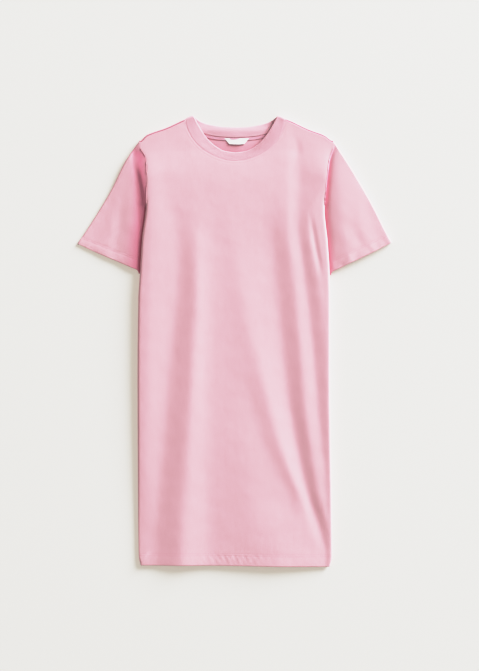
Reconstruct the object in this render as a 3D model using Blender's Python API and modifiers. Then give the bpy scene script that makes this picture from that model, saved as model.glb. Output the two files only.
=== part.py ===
"""A plain t-shirt dress in cotton jersey, laid flat on its back.

X runs across the dress, Y from the hem to the neck and Z up from the surface it lies on. The front
and the back meet at the side seams, half way up the rounded sides. The back folds over each
shoulder and meets the front at a seam a little forward of the fold. All sizes are in millimetres
and become metres when the points are placed.
"""

import math

import bmesh
import bpy

MM = 0.001

CLOTH = 1.2  # jersey wall
HEM_CLOTH = 2.0  # turned-up hems and cuffs
BAND_CLOTH = 2.2  # rib folded double
TRIM_CLOTH = 1.0  # tape and label
SEAM_GAP = 0.35

HEM_Y = -449.0
HEM_DEPTH = 24.0
SIDE_RADIUS = 10.0  # how far in the rounded sides reach
FOLD_RADIUS = 9.0  # of the fold along each shoulder
SEAM_FORWARD = 3.5  # shoulder seam, inside the outline of the fold
ARMPIT_Y = 266.0
ARMPIT_ROUND = 25.0

TIP_Y = 402.0  # fold at the shoulder tips
NECK_CENTRE_X = 1.0
NECK_HALF_WIDTH = 99.0
FRONT_NECK_Y = 360.0
FRONT_NECK_POWER = 1.85
BACK_NECK_Y = 407.4
BACK_NECK_POWER = 2.4

# Across the body: y, left and right outline, height of the side seam, loft of the front.
BODY_SECTIONS = [
    {"y": -449, "left": -189.0, "right": 190.0, "seam": 5.5, "loft": 12.0},
    {"y": -428, "left": -192.5, "right": 194.5, "seam": 5.8, "loft": 12.3},
    {"y": -318, "left": -194.0, "right": 194.0, "seam": 6.5, "loft": 13.0},
    {"y": -198, "left": -194.6, "right": 192.0, "seam": 6.8, "loft": 13.5},
    {"y": -78, "left": -195.0, "right": 190.6, "seam": 7.2, "loft": 13.8},
    {"y": 82, "left": -193.4, "right": 190.6, "seam": 8.0, "loft": 14.2},
    {"y": 136, "left": -190.0, "right": 189.4, "seam": 8.6, "loft": 14.5},
    {"y": 202, "left": -186.0, "right": 185.0, "seam": 9.2, "loft": 15.0},
    {"y": 266, "left": -178.0, "right": 179.2, "seam": 9.5, "loft": 15.5},
    {"y": 322, "left": -176.0, "right": 183.0, "seam": 9.5, "loft": 16.0},
    {"y": 362, "left": -178.0, "right": 188.0, "seam": 9.3, "loft": 16.5},
    {"y": 374, "left": -182.0, "right": 191.0, "seam": 9.0, "loft": 17.0},
    {"y": 388, "left": -190.5, "right": 196.5, "seam": 9.0, "loft": 17.5},
    {"y": 402, "left": -190.5, "right": 196.5, "seam": 9.0, "loft": 17.5},
]

# The line of the shoulder fold, seen from above.
SHOULDER_FOLD = [
    {"x": -190.5, "y": TIP_Y},
    {"x": -189.5, "y": TIP_Y},
    {"x": -176.6, "y": 413.0},
    {"x": -136.0, "y": 428.0},
    {"x": -102.6, "y": 443.4},
    {"x": -84.0, "y": 451.4},
    {"x": -60.0, "y": 452.0},
    {"x": 60.0, "y": 452.0},
    {"x": 86.0, "y": 451.4},
    {"x": 107.8, "y": 443.0},
    {"x": 148.6, "y": 424.0},
    {"x": 179.2, "y": 412.5},
    {"x": 195.5, "y": TIP_Y},
    {"x": 196.5, "y": TIP_Y},
]

# Long folds of the front: x and rise of each at five heights, and how far each flank spreads.
FOLD_LEVELS = {"hem": -430, "thigh": -198, "waist": 22, "chest": 202, "yoke": 330}
FRONT_FOLDS = [
    {"name": "left_edge_dip", "yoke": (-122, 0.0), "chest": (-124, -2.6), "waist": (-131, -3.0),
     "thigh": (-154, -2.4), "hem": (-176, 0.0), "left": 24, "right": 16},
    {"name": "left_ridge", "yoke": (-80, 0.0), "chest": (-82, 1.0), "waist": (-86, 2.8),
     "thigh": (-101, 4.2), "hem": (-104, 5.2), "left": 24, "right": 22},
    {"name": "left_centre_dip", "yoke": (-44, 0.0), "chest": (-42, -2.4), "waist": (-42, -2.6),
     "thigh": (-42, -3.0), "hem": (-42, -2.2), "left": 18, "right": 22},
    {"name": "drag_crease", "yoke": (-28, 0.0), "chest": (-12, 0.8), "waist": (22, 1.6),
     "thigh": (84, 2.4), "hem": (178, 2.6), "left": 14, "right": 30},
    {"name": "lower_swell", "yoke": (-20, 0.0), "chest": (-14, 0.0), "waist": (-12, 0.6),
     "thigh": (4, 2.8), "hem": (36, 4.6), "left": 26, "right": 40},
    {"name": "right_centre_dip", "yoke": (62, -1.0), "chest": (66, -4.6), "waist": (90, -4.8),
     "thigh": (116, -3.2), "hem": (178, -1.0), "left": 30, "right": 18},
    {"name": "right_ridge", "yoke": (106, 0.4), "chest": (112, 1.6), "waist": (127, 2.4),
     "thigh": (148, 3.0), "hem": (184, 0.6), "left": 14, "right": 12},
    {"name": "right_edge_dip", "yoke": (124, 0.0), "chest": (130, -1.8), "waist": (148, -2.6),
     "thigh": (174, -1.6), "hem": (186, 0.0), "left": 10, "right": 10},
    {"name": "right_edge_ridge", "yoke": (140, 0.0), "chest": (150, 1.4), "waist": (170, 1.2),
     "thigh": (182, 0.0), "hem": (186, 0.0), "left": 12, "right": 12},
]

# Free edge of the neckband, both halves alike, from the front (0) to the back (1): distance from
# the centre line, and distance over the cloth from the crest of the shoulder fold, forward of it
# (+) or behind it (-).
BAND_EDGE = [
    {"turn": 0.00, "out": 0.0, "over": 80.6},
    {"turn": 0.09, "out": 21.5, "over": 77.2},
    {"turn": 0.18, "out": 40.5, "over": 67.2},
    {"turn": 0.28, "out": 57.0, "over": 51.5},
    {"turn": 0.37, "out": 68.0, "over": 35.6},
    {"turn": 0.46, "out": 77.0, "over": 19.6},
    {"turn": 0.56, "out": 84.0, "over": 0.0},
    {"turn": 0.64, "out": 75.0, "over": -14.6},
    {"turn": 0.72, "out": 63.0, "over": -20.5},
    {"turn": 0.82, "out": 44.0, "over": -25.4},
    {"turn": 0.91, "out": 23.0, "over": -28.6},
    {"turn": 1.00, "out": 0.0, "over": -29.6},
]
BAND_SINK = 1.5  # of the front free edge, below the panel's level

# Each sleeve from the armhole (0) to the cuff (1): its top fold, its loft, and the heights at
# which the cloth turns over at the top fold and at the underarm fold.
SLEEVE_SECTIONS = {
    "left": [
        {"along": 0.00, "out": -190.8, "y": TIP_Y, "loft": 17.5, "top": 9.0, "under": 9.5},
        {"along": 0.17, "out": -221.0, "y": 357.0, "loft": 15.5, "top": 8.2, "under": 5.2},
        {"along": 0.42, "out": -248.5, "y": 301.0, "loft": 14.5, "top": 7.4, "under": 4.4},
        {"along": 0.85, "out": -299.0, "y": 219.0, "loft": 13.0, "top": 6.6, "under": 4.2},
        {"along": 1.00, "out": -315.6, "y": 195.0, "loft": 13.0, "top": 6.5, "under": 4.4},
    ],
    "right": [
        {"along": 0.00, "out": 196.8, "y": TIP_Y, "loft": 17.5, "top": 9.0, "under": 9.5},
        {"along": 0.30, "out": 238.0, "y": 338.0, "loft": 15.5, "top": 8.0, "under": 4.8},
        {"along": 0.62, "out": 276.0, "y": 272.0, "loft": 14.5, "top": 7.0, "under": 4.2},
        {"along": 0.88, "out": 302.0, "y": 220.0, "loft": 13.0, "top": 6.6, "under": 4.2},
        {"along": 1.00, "out": 314.4, "y": 197.6, "loft": 13.0, "top": 6.5, "under": 4.4},
    ],
}
SIDE_SIGN = {"left": -1, "right": 1}
CUFF_INNER_Y = {"left": 135.0, "right": 132.0}
CUFF_DEPTH = 24.0
UNDERARM_CLEAR = 0.7  # more room between the underarm fold and the body's side
VALLEY_OFF = 13.0  # from the armhole seam to the bottom of the valley beside it
VALLEY_WIDE = 11.0
VALLEY_SHARE = 0.5  # of the loft, taken away at the bottom of the valley
# Soft folds of the sleeves: their places at the armhole and at the cuff, as shares of the way from
# the top fold to the underarm, and their rise there.
SLEEVE_FOLDS = {
    "left": [
        {"arm": 0.42, "cuff": 0.30, "arm_rise": 1.0, "cuff_rise": 1.4, "wide": 0.10},
        {"arm": 0.62, "cuff": 0.55, "arm_rise": -1.4, "cuff_rise": -1.8, "wide": 0.11},
        {"arm": 0.80, "cuff": 0.76, "arm_rise": 0.6, "cuff_rise": 1.2, "wide": 0.09},
    ],
    "right": [
        {"arm": 0.30, "cuff": 0.22, "arm_rise": 0.8, "cuff_rise": 1.0, "wide": 0.12},
        {"arm": 0.58, "cuff": 0.46, "arm_rise": -1.2, "cuff_rise": -1.8, "wide": 0.10},
    ],
}

TAPE_WIDE = 6.4
TAPE_HALF_LENGTH = 84.0
LABEL = {"centre_x": 3.4, "top_y": 405.6, "bottom_y": 393.8, "top_wide": 50.0,
         "bottom_wide": 30.0, "top_z": 3.9, "bottom_z": 6.0}

# How finely each piece is divided.
FRONT_NECK_STEPS = 20
BACK_NECK_STEPS = 16
SHOULDER_STEPS = 5
ARMHOLE_STEPS = 4
FRONT_LENGTH_STEPS = 15
BACK_LENGTH_STEPS = 8
ROUND_ANGLES = (0, 3, 13, 33, 60, 90)  # down a rounded side, from its seam
BACK_ROUND_ANGLES = (0, 3, 14, 42, 90)
FRONT_TOP_GAPS = (9.0, 5.4, 2.2, 0.5, 0.0)
BACK_TOP_GAPS = (24.0, 18.5, 14.5, 10.5, 6.8, 3.4, 0.5, 0.0)
SLEEVE_NEAR = (0.0, 0.0, 10.0, 22.0, 36.0, 52.0)
SLEEVE_STEPS = 6
BAND_ROWS = (0.0, 0.03, 0.35, 0.70, 1.0)

PINK = (0.83, 0.50, 0.57, 1.0)
WHITE = (0.90, 0.88, 0.88, 1.0)

QUARTER_TURN = math.pi / 2 * FOLD_RADIUS  # cloth from the crest of a fold to where it levels out
SEAM_OVER = FOLD_RADIUS * math.acos(1 - SEAM_FORWARD / FOLD_RADIUS)  # crest to shoulder seam


def lerp(a, b, t):
    return a + (b - a) * t


def ease(low, high, at):
    t = min(1.0, max(0.0, (at - low) / (high - low)))
    return t * t * (3 - 2 * t)


def bump(off, wide):
    return math.exp(-((off / wide) ** 2))


def quarter(t):
    """Height of a quarter circle, from 0 at its rim to 1 where it levels out."""
    return math.sqrt(1 - (1 - min(1.0, max(0.0, t))) ** 2)


def smooth(rows, key, value, at):
    """Read one column of a table at any position, by a curve that never overshoots its rows."""
    spots = [row[key] for row in rows]
    values = [row[value] for row in rows]
    if at <= spots[0]:
        return values[0]
    if at >= spots[-1]:
        return values[-1]
    climbs = [(values[n + 1] - values[n]) / (spots[n + 1] - spots[n]) for n in range(len(rows) - 1)]

    def slope(n):
        if n in (0, len(rows) - 1):
            return climbs[min(n, len(climbs) - 1)]
        before, after = climbs[n - 1], climbs[n]
        return 2 * before * after / (before + after) if before * after > 0 else 0.0

    i = max(n for n in range(len(climbs)) if spots[n] <= at)
    wide = spots[i + 1] - spots[i]
    t = (at - spots[i]) / wide
    start = values[i] * (1 + 2 * t) + slope(i) * wide * t
    end = values[i + 1] * (3 - 2 * t) - slope(i + 1) * wide * (1 - t)
    return start * (1 - t) ** 2 + end * t * t


def body(column, y):
    return smooth(BODY_SECTIONS, "y", column, y)


def fold_y(x):
    return smooth(SHOULDER_FOLD, "x", "y", x)


FOLD_PATHS = [
    {
        "rows": [
            {"y": y, "x": fold[level][0], "rise": fold[level][1]}
            for level, y in FOLD_LEVELS.items()
        ],
        "left": fold["left"],
        "right": fold["right"],
    }
    for fold in FRONT_FOLDS
]


def front_loft(x, y):
    """Height of the front's outer face where no edge rounds it off."""
    height = body("loft", y)
    for fold in FOLD_PATHS:
        off = x - smooth(fold["rows"], "y", "x", y)
        rise = smooth(fold["rows"], "y", "rise", y) * (1 - ease(260, 350, y))
        height += rise * bump(off, fold["left"] if off < 0 else fold["right"])
    return lerp(2 * FOLD_RADIUS, height, ease(12, 80, fold_y(x) - y))


def side_level(x, y):
    """How far a panel has levelled out: 0 on the side seam, 1 inside and beside the armhole."""
    edge = min(x - body("left", y), body("right", y) - x)
    return max(quarter((y - ARMPIT_Y) / ARMPIT_ROUND), quarter(edge / SIDE_RADIUS))


def front_z(x, y):
    loft = front_loft(x, y)
    below_fold = fold_y(x) - y
    if below_fold < FOLD_RADIUS:
        return FOLD_RADIUS + (loft - FOLD_RADIUS) * quarter(below_fold / FOLD_RADIUS)
    seam = body("seam", y) + SEAM_GAP / 2
    return seam + (loft - seam) * side_level(x, y)


def back_z(x, y):
    return (body("seam", y) - SEAM_GAP / 2) * (1 - side_level(x, y))


def over_shoulder(x, over):
    """The outer face at a distance over the cloth from the crest of the shoulder fold."""
    if over >= QUARTER_TURN:
        y = fold_y(x) - FOLD_RADIUS - (over - QUARTER_TURN)
        return x, y, front_z(x, y)
    if over <= -QUARTER_TURN:
        y = fold_y(x) - FOLD_RADIUS + (over + QUARTER_TURN)
        return x, y, back_z(x, y)
    angle = over / FOLD_RADIUS
    drop = FOLD_RADIUS * (1 - math.cos(angle))
    return x, fold_y(x) - drop, FOLD_RADIUS * (1 + math.sin(angle))


def front_over(x, y):
    """A place on the front, as a distance over the cloth from the crest of the shoulder fold."""
    below = fold_y(x) - y
    if below < FOLD_RADIUS:
        return FOLD_RADIUS * math.acos(1 - below / FOLD_RADIUS)
    return QUARTER_TURN + below - FOLD_RADIUS


def back_over(x, flat_y):
    """The same for the back, whose cut runs on past the fold."""
    return flat_y - (fold_y(x) - FOLD_RADIUS) - QUARTER_TURN


def back_flat_y(x, over):
    return over + QUARTER_TURN + fold_y(x) - FOLD_RADIUS


def evenly(points, steps, near_ends=0.0):
    """Positions that part a line of points into equal lengths, with one more near each end if
    asked, and the length of the line up to each."""
    runs = [0.0]
    for a, b in zip(points, points[1:]):
        runs.append(runs[-1] + math.dist(a, b))
    targets = [runs[-1] * n / steps for n in range(steps + 1)]
    if near_ends:
        targets = sorted(targets + [near_ends, runs[-1] - near_ends])
    spots = []
    i = 0
    for target in targets:
        while i < len(runs) - 2 and runs[i + 1] < target:
            i += 1
        t = (target - runs[i]) / (runs[i + 1] - runs[i])
        spots.append(tuple(lerp(a, b, t) for a, b in zip(points[i], points[i + 1])))
    return spots, targets


def neckline(level_of, low_y, power, steps, near_ends=0.0, half_width=NECK_HALF_WIDTH):
    """Stations along a rounded neckline from left to right, and the length up to each."""
    points = []
    for n in range(241):
        angle = math.pi * n / 240
        across = -math.copysign(abs(math.cos(angle)) ** (2 / power), math.cos(angle))
        if abs(across) * NECK_HALF_WIDTH > half_width + 0.001:
            continue
        left, right = (level_of(NECK_CENTRE_X + s * NECK_HALF_WIDTH) for s in (-1, 1))
        level = lerp(left, right, (across + 1) / 2)
        drop = math.sin(angle) ** (2 / power)
        points.append((NECK_CENTRE_X + NECK_HALF_WIDTH * across, lerp(level, low_y, drop)))
    return evenly(points, steps, near_ends)


def front_seam_y(x):
    return fold_y(x) - SEAM_FORWARD - SEAM_GAP / 2


def back_seam_y(x):
    return back_flat_y(x, SEAM_OVER - SEAM_GAP / 2)


FRONT_NECK, FRONT_NECK_RUNS = neckline(
    front_seam_y, FRONT_NECK_Y, FRONT_NECK_POWER, FRONT_NECK_STEPS, 2.5
)
BACK_NECK, BACK_NECK_RUNS = neckline(
    back_seam_y, BACK_NECK_Y, BACK_NECK_POWER, BACK_NECK_STEPS, 2.5
)


def clear_scene():
    for thing in list(bpy.data.objects):
        bpy.data.objects.remove(thing, do_unlink=True)


def new_material(name, colour, roughness):
    material = bpy.data.materials.new(name)
    material.use_nodes = True
    surface = material.node_tree.nodes["Principled BSDF"]
    surface.inputs["Base Color"].default_value = colour
    surface.inputs["Roughness"].default_value = roughness
    surface.inputs["Metallic"].default_value = 0.0
    return material


def add_cloth(name, columns, rows, place, colour, wall, hem_wall=None, ring=False, flip=False):
    """Add a sheet of cloth. place(column, row) gives each point of its outer face, and whether it
    is in a turned-up hem. The wall grows inwards. A ring joins its last column to its first."""
    mesh = bmesh.new()
    bmesh.ops.create_grid(mesh, x_segments=columns, y_segments=rows, size=1.0)
    hem_layer = mesh.verts.layers.deform.verify()
    for vert in mesh.verts:
        column = round((vert.co.x + 1) / 2 * columns)
        row = round((vert.co.y + 1) / 2 * rows)
        x, y, z, in_hem = place(column % columns if ring else column, row)
        vert.co = (x * MM, y * MM, z * MM)
        vert[hem_layer][0] = 1.0 if in_hem else 0.0
    if ring:
        bmesh.ops.remove_doubles(mesh, verts=mesh.verts, dist=0.00001)
    if flip:
        bmesh.ops.reverse_faces(mesh, faces=mesh.faces)
    data = bpy.data.meshes.new(name)
    mesh.to_mesh(data)
    mesh.free()
    data.shade_smooth()
    data.materials.append(new_material(name, colour, 0.85))
    thing = bpy.data.objects.new(name, data)
    dress.objects.link(thing)
    thing.vertex_groups.new(name="hem")
    shell = thing.modifiers.new("Wall", "SOLIDIFY")
    shell.thickness = (hem_wall or wall) * MM
    shell.offset = -1.0
    if hem_wall:
        shell.vertex_group = "hem"
        shell.thickness_vertex_group = wall / hem_wall


def panel_rows(length, steps, top_gaps):
    """Rows of a panel, as shares of its side: two at the hem, even steps to the armpit, the foot
    of the armhole, and then up to the shoulder, closer where the cloth turns over."""
    armpit = ARMPIT_Y - HEM_Y
    rows = [0.0, HEM_DEPTH - 1.0]
    rows += [lerp(HEM_DEPTH + 1.5, armpit, n / steps) for n in range(steps)]
    rows += [armpit + ARMPIT_ROUND * (1 - math.cos(math.radians(a))) for a in ROUND_ANGLES]
    last, top = rows[-1], length - top_gaps[0]
    rows += [lerp(last, top, (n + 1) / ARMHOLE_STEPS) for n in range(ARMHOLE_STEPS - 1)]
    return [row / length for row in rows] + [1 - gap / length for gap in top_gaps]


def panel_columns(neck, angles, seam_y):
    """Columns of a panel from its left to its right side. Those of a rounded side keep their
    distance from it. The others start evenly spread at the hem and end on the seams at the top."""
    rims = [SIDE_RADIUS * (1 - math.cos(math.radians(a))) for a in angles[:-1]]
    left, right = body("left", TIP_Y), body("right", TIP_Y)
    first, last = left + SIDE_RADIUS, right - SIDE_RADIUS
    tops = [lerp(first, neck[0][0], n / SHOULDER_STEPS) for n in range(SHOULDER_STEPS)]
    tops = [(x, seam_y(x)) for x in tops] + list(neck)
    beyond = [lerp(neck[-1][0], last, (n + 1) / SHOULDER_STEPS) for n in range(SHOULDER_STEPS)]
    tops += [(x, seam_y(x)) for x in beyond]
    columns = [{"side": "left", "rim": r, "top_y": seam_y(left + r)} for r in rims]
    for n, (x, y) in enumerate(tops):
        inner_left, inner_right = body("left", y) + SIDE_RADIUS, body("right", y) - SIDE_RADIUS
        top_share = (x - inner_left) / (inner_right - inner_left)
        columns.append({"side": None, "hem": n / (len(tops) - 1), "top": top_share, "top_y": y})
    columns += [{"side": "right", "rim": r, "top_y": seam_y(right - r)} for r in rims[::-1]]
    return columns


def panel_point(column, up, tip_y):
    """Where a column crosses a row, on the panel's cut laid out flat."""
    pull = up**5
    y = HEM_Y + up * (tip_y - HEM_Y) + pull * (column["top_y"] - tip_y)
    if column["side"] == "left":
        return body("left", y) + column["rim"], y
    if column["side"] == "right":
        return body("right", y) - column["rim"], y
    left, right = body("left", y) + SIDE_RADIUS, body("right", y) - SIDE_RADIUS
    return lerp(left, right, lerp(column["hem"], column["top"], pull)), y


FRONT_TIP_Y = front_seam_y(body("left", TIP_Y))
BACK_TIP_Y = back_seam_y(body("left", TIP_Y))
FRONT_COLUMNS = panel_columns(FRONT_NECK, ROUND_ANGLES, front_seam_y)
BACK_COLUMNS = panel_columns(BACK_NECK, BACK_ROUND_ANGLES, back_seam_y)
FRONT_ROWS = panel_rows(FRONT_TIP_Y - HEM_Y, FRONT_LENGTH_STEPS, FRONT_TOP_GAPS)
BACK_ROWS = panel_rows(BACK_TIP_Y - HEM_Y, BACK_LENGTH_STEPS, BACK_TOP_GAPS)


def front_place(column, row):
    x, y = panel_point(FRONT_COLUMNS[column], FRONT_ROWS[row], FRONT_TIP_Y)
    return x, y, front_z(x, y), row < 2


def back_place(column, row):
    """The back is the lower layer, so its outer face is flat on the ground."""
    x, flat_y = panel_point(BACK_COLUMNS[column], BACK_ROWS[row], BACK_TIP_Y)
    return *over_shoulder(x, back_over(x, flat_y)), row < 2


def armhole_ring():
    """Stations round the armhole, from the armpit up the front and down the back."""
    ring = []
    for up in FRONT_ROWS[2 + FRONT_LENGTH_STEPS :]:
        y = HEM_Y + up * (FRONT_TIP_Y - HEM_Y)
        ring.append({"upper": True, "share": (TIP_Y - y) / (TIP_Y - ARMPIT_Y)})
    edge = body("left", TIP_Y)
    for up in BACK_ROWS[-2 : 2 + BACK_LENGTH_STEPS : -1]:
        flat_y = HEM_Y + up * (BACK_TIP_Y - HEM_Y)
        over = back_over(edge, flat_y)
        y = over_shoulder(edge, over)[1]
        ring.append({"upper": over > 0, "share": (TIP_Y - y) / (TIP_Y - ARMPIT_Y)})
    return ring


ARMHOLE = armhole_ring()


def sleeve_piece(side):
    sign = SIDE_SIGN[side]
    sections = SLEEVE_SECTIONS[side]
    armpit = (body(side, ARMPIT_Y) + sign * SEAM_GAP, ARMPIT_Y)
    cuff_inner = (
        body(side, CUFF_INNER_Y[side]) + sign * (SEAM_GAP + UNDERARM_CLEAR),
        CUFF_INNER_Y[side],
    )
    cuff_top = (sections[-1]["out"], sections[-1]["y"])
    tip = (sections[0]["out"], TIP_Y)
    top_length = math.dist(tip, cuff_top)
    under_length = math.dist(armpit, cuff_inner)

    def plan(share, along):
        """Seen from above, between the armhole, the cuff, the top fold and the body's side."""
        arm_y = lerp(TIP_Y, ARMPIT_Y, share)
        arm = (body(side, arm_y) + sign * SEAM_GAP, arm_y)
        top = (smooth(sections, "along", "out", along), smooth(sections, "along", "y", along))
        under_y = lerp(ARMPIT_Y, CUFF_INNER_Y[side], along)
        clear = SEAM_GAP + UNDERARM_CLEAR * ease(0, 0.08, along)
        under = (body(side, under_y) + sign * clear, under_y)
        corner = [
            (1 - along) * lerp(tip[k], armpit[k], share)
            + along * lerp(cuff_top[k], cuff_inner[k], share)
            for k in (0, 1)
        ]
        return [
            lerp(arm[k], lerp(cuff_top[k], cuff_inner[k], share), along)
            + lerp(top[k], under[k], share)
            - corner[k]
            for k in (0, 1)
        ]

    def loft(x, y, share, along, path):
        height = smooth(sections, "along", "loft", along)
        for fold in SLEEVE_FOLDS[side]:
            off = share - lerp(fold["arm"], fold["cuff"], along)
            rise = lerp(fold["arm_rise"], fold["cuff_rise"], along)
            height += rise * bump(off, fold["wide"]) * ease(0.08, 0.3, along)
        off = sign * (x - body(side, y))
        bottom = VALLEY_OFF * ease(ARMPIT_Y - 10, ARMPIT_Y + 40, y)
        depth = VALLEY_SHARE * (1 - ease(345, 385, y))
        height *= 1 - depth * bump(off - bottom, VALLEY_WIDE)
        return lerp(height, front_loft(body(side, y), y), bump(path, 22))

    def place(column, row):
        station = ARMHOLE[column]
        share = station["share"]
        length = lerp(top_length, under_length, share)
        if row < len(SLEEVE_NEAR):
            path = SLEEVE_NEAR[row]
        else:
            step = (row - len(SLEEVE_NEAR) + 1) / SLEEVE_STEPS
            path = lerp(SLEEVE_NEAR[-1], length - CUFF_DEPTH - 1.5, step)
        if row > rings - 2:
            path = length - (CUFF_DEPTH - 1.0) * (rings - row)
        along = path / length
        x, y = plan(share, along)
        if row == 1:
            x += sign * 0.5  # straight out from the seam, so that its edge stands upright
        chord = lerp(TIP_Y - ARMPIT_Y, math.dist(cuff_top, cuff_inner), along)
        if share < 0.5:
            turn = smooth(sections, "along", "top", along)
            level = quarter(share * chord / turn)
        else:
            turn = smooth(sections, "along", "under", along)
            level = quarter((1 - share) * chord / lerp(9, ARMPIT_ROUND, bump(path, 30)))
        if station["upper"]:
            z = turn + (loft(x, y, share, along, path) - turn) * level
        else:
            z = turn * (1 - level)
        return x, y, z, row > rings - 2

    rings = len(SLEEVE_NEAR) + SLEEVE_STEPS + 1
    add_cloth(
        f"sleeve_{side}", len(ARMHOLE), rings, place, PINK, CLOTH, HEM_CLOTH,
        ring=True, flip=side == "right",
    )


def band_stations():
    """Stations round the neck seam: where each lies, and its turn from front (0) to back (1)."""
    stations = []
    front_half, back_half = FRONT_NECK_RUNS[-1] / 2, BACK_NECK_RUNS[-1] / 2
    for (x, y), run in zip(FRONT_NECK, FRONT_NECK_RUNS):
        from_front = abs(run - front_half)
        stations.append({"x": x, "over": front_over(x, y), "from_front": from_front})
    for (x, flat_y), run in list(zip(BACK_NECK, BACK_NECK_RUNS))[-2:0:-1]:
        from_front = front_half + back_half - abs(run - back_half)
        stations.append({"x": x, "over": back_over(x, flat_y), "from_front": from_front})
    for station in stations:
        station["turn"] = station["from_front"] / (front_half + back_half)
        station["sign"] = -1 if station["x"] < NECK_CENTRE_X else 1
    return stations


BAND = band_stations()


def band_place(column, row):
    station, across = BAND[column], BAND_ROWS[row]
    out = smooth(BAND_EDGE, "turn", "out", station["turn"])
    edge_x = NECK_CENTRE_X + station["sign"] * out
    edge_over = smooth(BAND_EDGE, "turn", "over", station["turn"])
    width = math.dist((station["x"], station["over"]), (edge_x, edge_over))
    across = lerp(1.3 * SEAM_GAP / width, 1, across)
    over = lerp(station["over"], edge_over, across)
    x, y, z = over_shoulder(lerp(station["x"], edge_x, across), over)
    return x, y, z - BAND_SINK * across**2 * ease(12, 50, over), False


TAPE_STEPS = 22
TAPE_LINE, _ = neckline(
    back_seam_y, BACK_NECK_Y, BACK_NECK_POWER, TAPE_STEPS, half_width=TAPE_HALF_LENGTH
)


def tape_place(column, row):
    before, after = TAPE_LINE[max(0, column - 1)], TAPE_LINE[min(TAPE_STEPS, column + 1)]
    run = math.dist(before, after)
    away = ((after[1] - before[1]) / run, (before[0] - after[0]) / run)
    off = 0.5 + TAPE_WIDE * (1 - row)
    x, y = (TAPE_LINE[column][k] + off * away[k] for k in (0, 1))
    return x, y, CLOTH + SEAM_GAP + TRIM_CLOTH, False


def label_place(column, row):
    down = 1 - row / 3
    half = lerp(LABEL["top_wide"], LABEL["bottom_wide"], down) / 2
    across = column / 6 * 2 - 1
    sag = 0.8 * (1 - across**2) * down
    z = lerp(LABEL["top_z"], LABEL["bottom_z"], down**1.6) - 0.5 * across**2 * down
    y = lerp(LABEL["top_y"], LABEL["bottom_y"], down) - sag
    return LABEL["centre_x"] + across * half, y, z, False


clear_scene()
dress = bpy.data.collections.new("t_shirt_dress")
bpy.context.scene.collection.children.link(dress)

add_cloth(
    "front", len(FRONT_COLUMNS) - 1, len(FRONT_ROWS) - 1, front_place, PINK, CLOTH, HEM_CLOTH
)
add_cloth(
    "back", len(BACK_COLUMNS) - 1, len(BACK_ROWS) - 1, back_place, PINK, CLOTH, HEM_CLOTH, flip=True
)
for sleeve_side in SIDE_SIGN:
    sleeve_piece(sleeve_side)
add_cloth("neckband", len(BAND), len(BAND_ROWS) - 1, band_place, PINK, BAND_CLOTH, ring=True)
add_cloth("neck_tape", TAPE_STEPS, 1, tape_place, PINK, TRIM_CLOTH)
add_cloth("label", 6, 3, label_place, WHITE, TRIM_CLOTH)
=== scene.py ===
import math

import bmesh
import bpy
import numpy as np
from mathutils import Matrix, Vector


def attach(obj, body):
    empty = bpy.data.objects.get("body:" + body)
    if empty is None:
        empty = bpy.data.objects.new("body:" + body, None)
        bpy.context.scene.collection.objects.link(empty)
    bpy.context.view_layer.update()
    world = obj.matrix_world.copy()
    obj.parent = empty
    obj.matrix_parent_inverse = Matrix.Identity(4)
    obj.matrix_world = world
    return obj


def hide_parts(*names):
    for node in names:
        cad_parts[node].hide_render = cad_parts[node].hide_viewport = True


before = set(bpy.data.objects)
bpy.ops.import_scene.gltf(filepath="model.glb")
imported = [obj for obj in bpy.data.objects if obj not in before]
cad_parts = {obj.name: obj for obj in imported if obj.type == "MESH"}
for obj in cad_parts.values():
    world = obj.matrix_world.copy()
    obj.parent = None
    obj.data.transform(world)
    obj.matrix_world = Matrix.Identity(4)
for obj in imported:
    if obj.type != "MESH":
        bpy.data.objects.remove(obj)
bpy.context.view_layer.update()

# A t-shirt dress in cotton jersey, laid flat on its back. Sizes are in millimetres: x across the
# dress, y from the hem to the neck, z up from the floor.

mm = 0.001
print("frame loaded:", ", ".join(sorted(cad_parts)))


def lerp(a, b, t):
    return a + (b - a) * t


def ease(low, high, at):
    t = np.clip((at - low) / (high - low), 0, 1)
    return t * t * (3 - 2 * t)


def swell(off, wide):
    return np.exp(-((off / wide) ** 2))


def quarterRound(t):  # 0 at the rim of a rounded edge, 1 where it levels out
    return np.sqrt(1 - (1 - np.clip(t, 0, 1)) ** 2)


def curve(at, to):  # a smooth line through the points, which never overshoots them
    at, to = np.array(at, float), np.array(to, float)
    climb = np.diff(to) / np.diff(at)
    slope = np.concatenate([climb[:1], climb[:-1], climb[-1:]])
    both = climb[:-1] * climb[1:]
    steady = both > 0
    slope[1:-1] = np.where(steady, 2 * both / np.where(steady, climb[:-1] + climb[1:], 1), 0)
    slope = slope[: len(at)]

    def read(x):
        x = np.clip(np.asarray(x, float), at[0], at[-1])
        i = np.clip(np.searchsorted(at, x, side="right") - 1, 0, len(at) - 2)
        wide = at[i + 1] - at[i]
        t = (x - at[i]) / wide
        start = to[i] * (1 + 2 * t) + slope[i] * wide * t
        end = to[i + 1] * (3 - 2 * t) - slope[i + 1] * wide * (1 - t)
        return start * (1 - t) ** 2 + end * t * t

    return read


def creased(lines, across, y):  # straight between the crease lines, and rounded at each of them
    at = [line["x"](y) for line in lines]
    high = [line["z"](y) for line in lines]
    slopes = [np.zeros_like(y)]
    slopes += [(high[n + 1] - high[n]) / (at[n + 1] - at[n]) for n in range(len(lines) - 1)]
    slopes.append(np.zeros_like(y))
    z = high[0] + 0 * across
    for n, line in enumerate(lines):
        off = across - at[n]
        z = z + (slopes[n + 1] - slopes[n]) * 0.5 * (off + np.sqrt(off**2 + line["soft"](y) ** 2))
    return z


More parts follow.
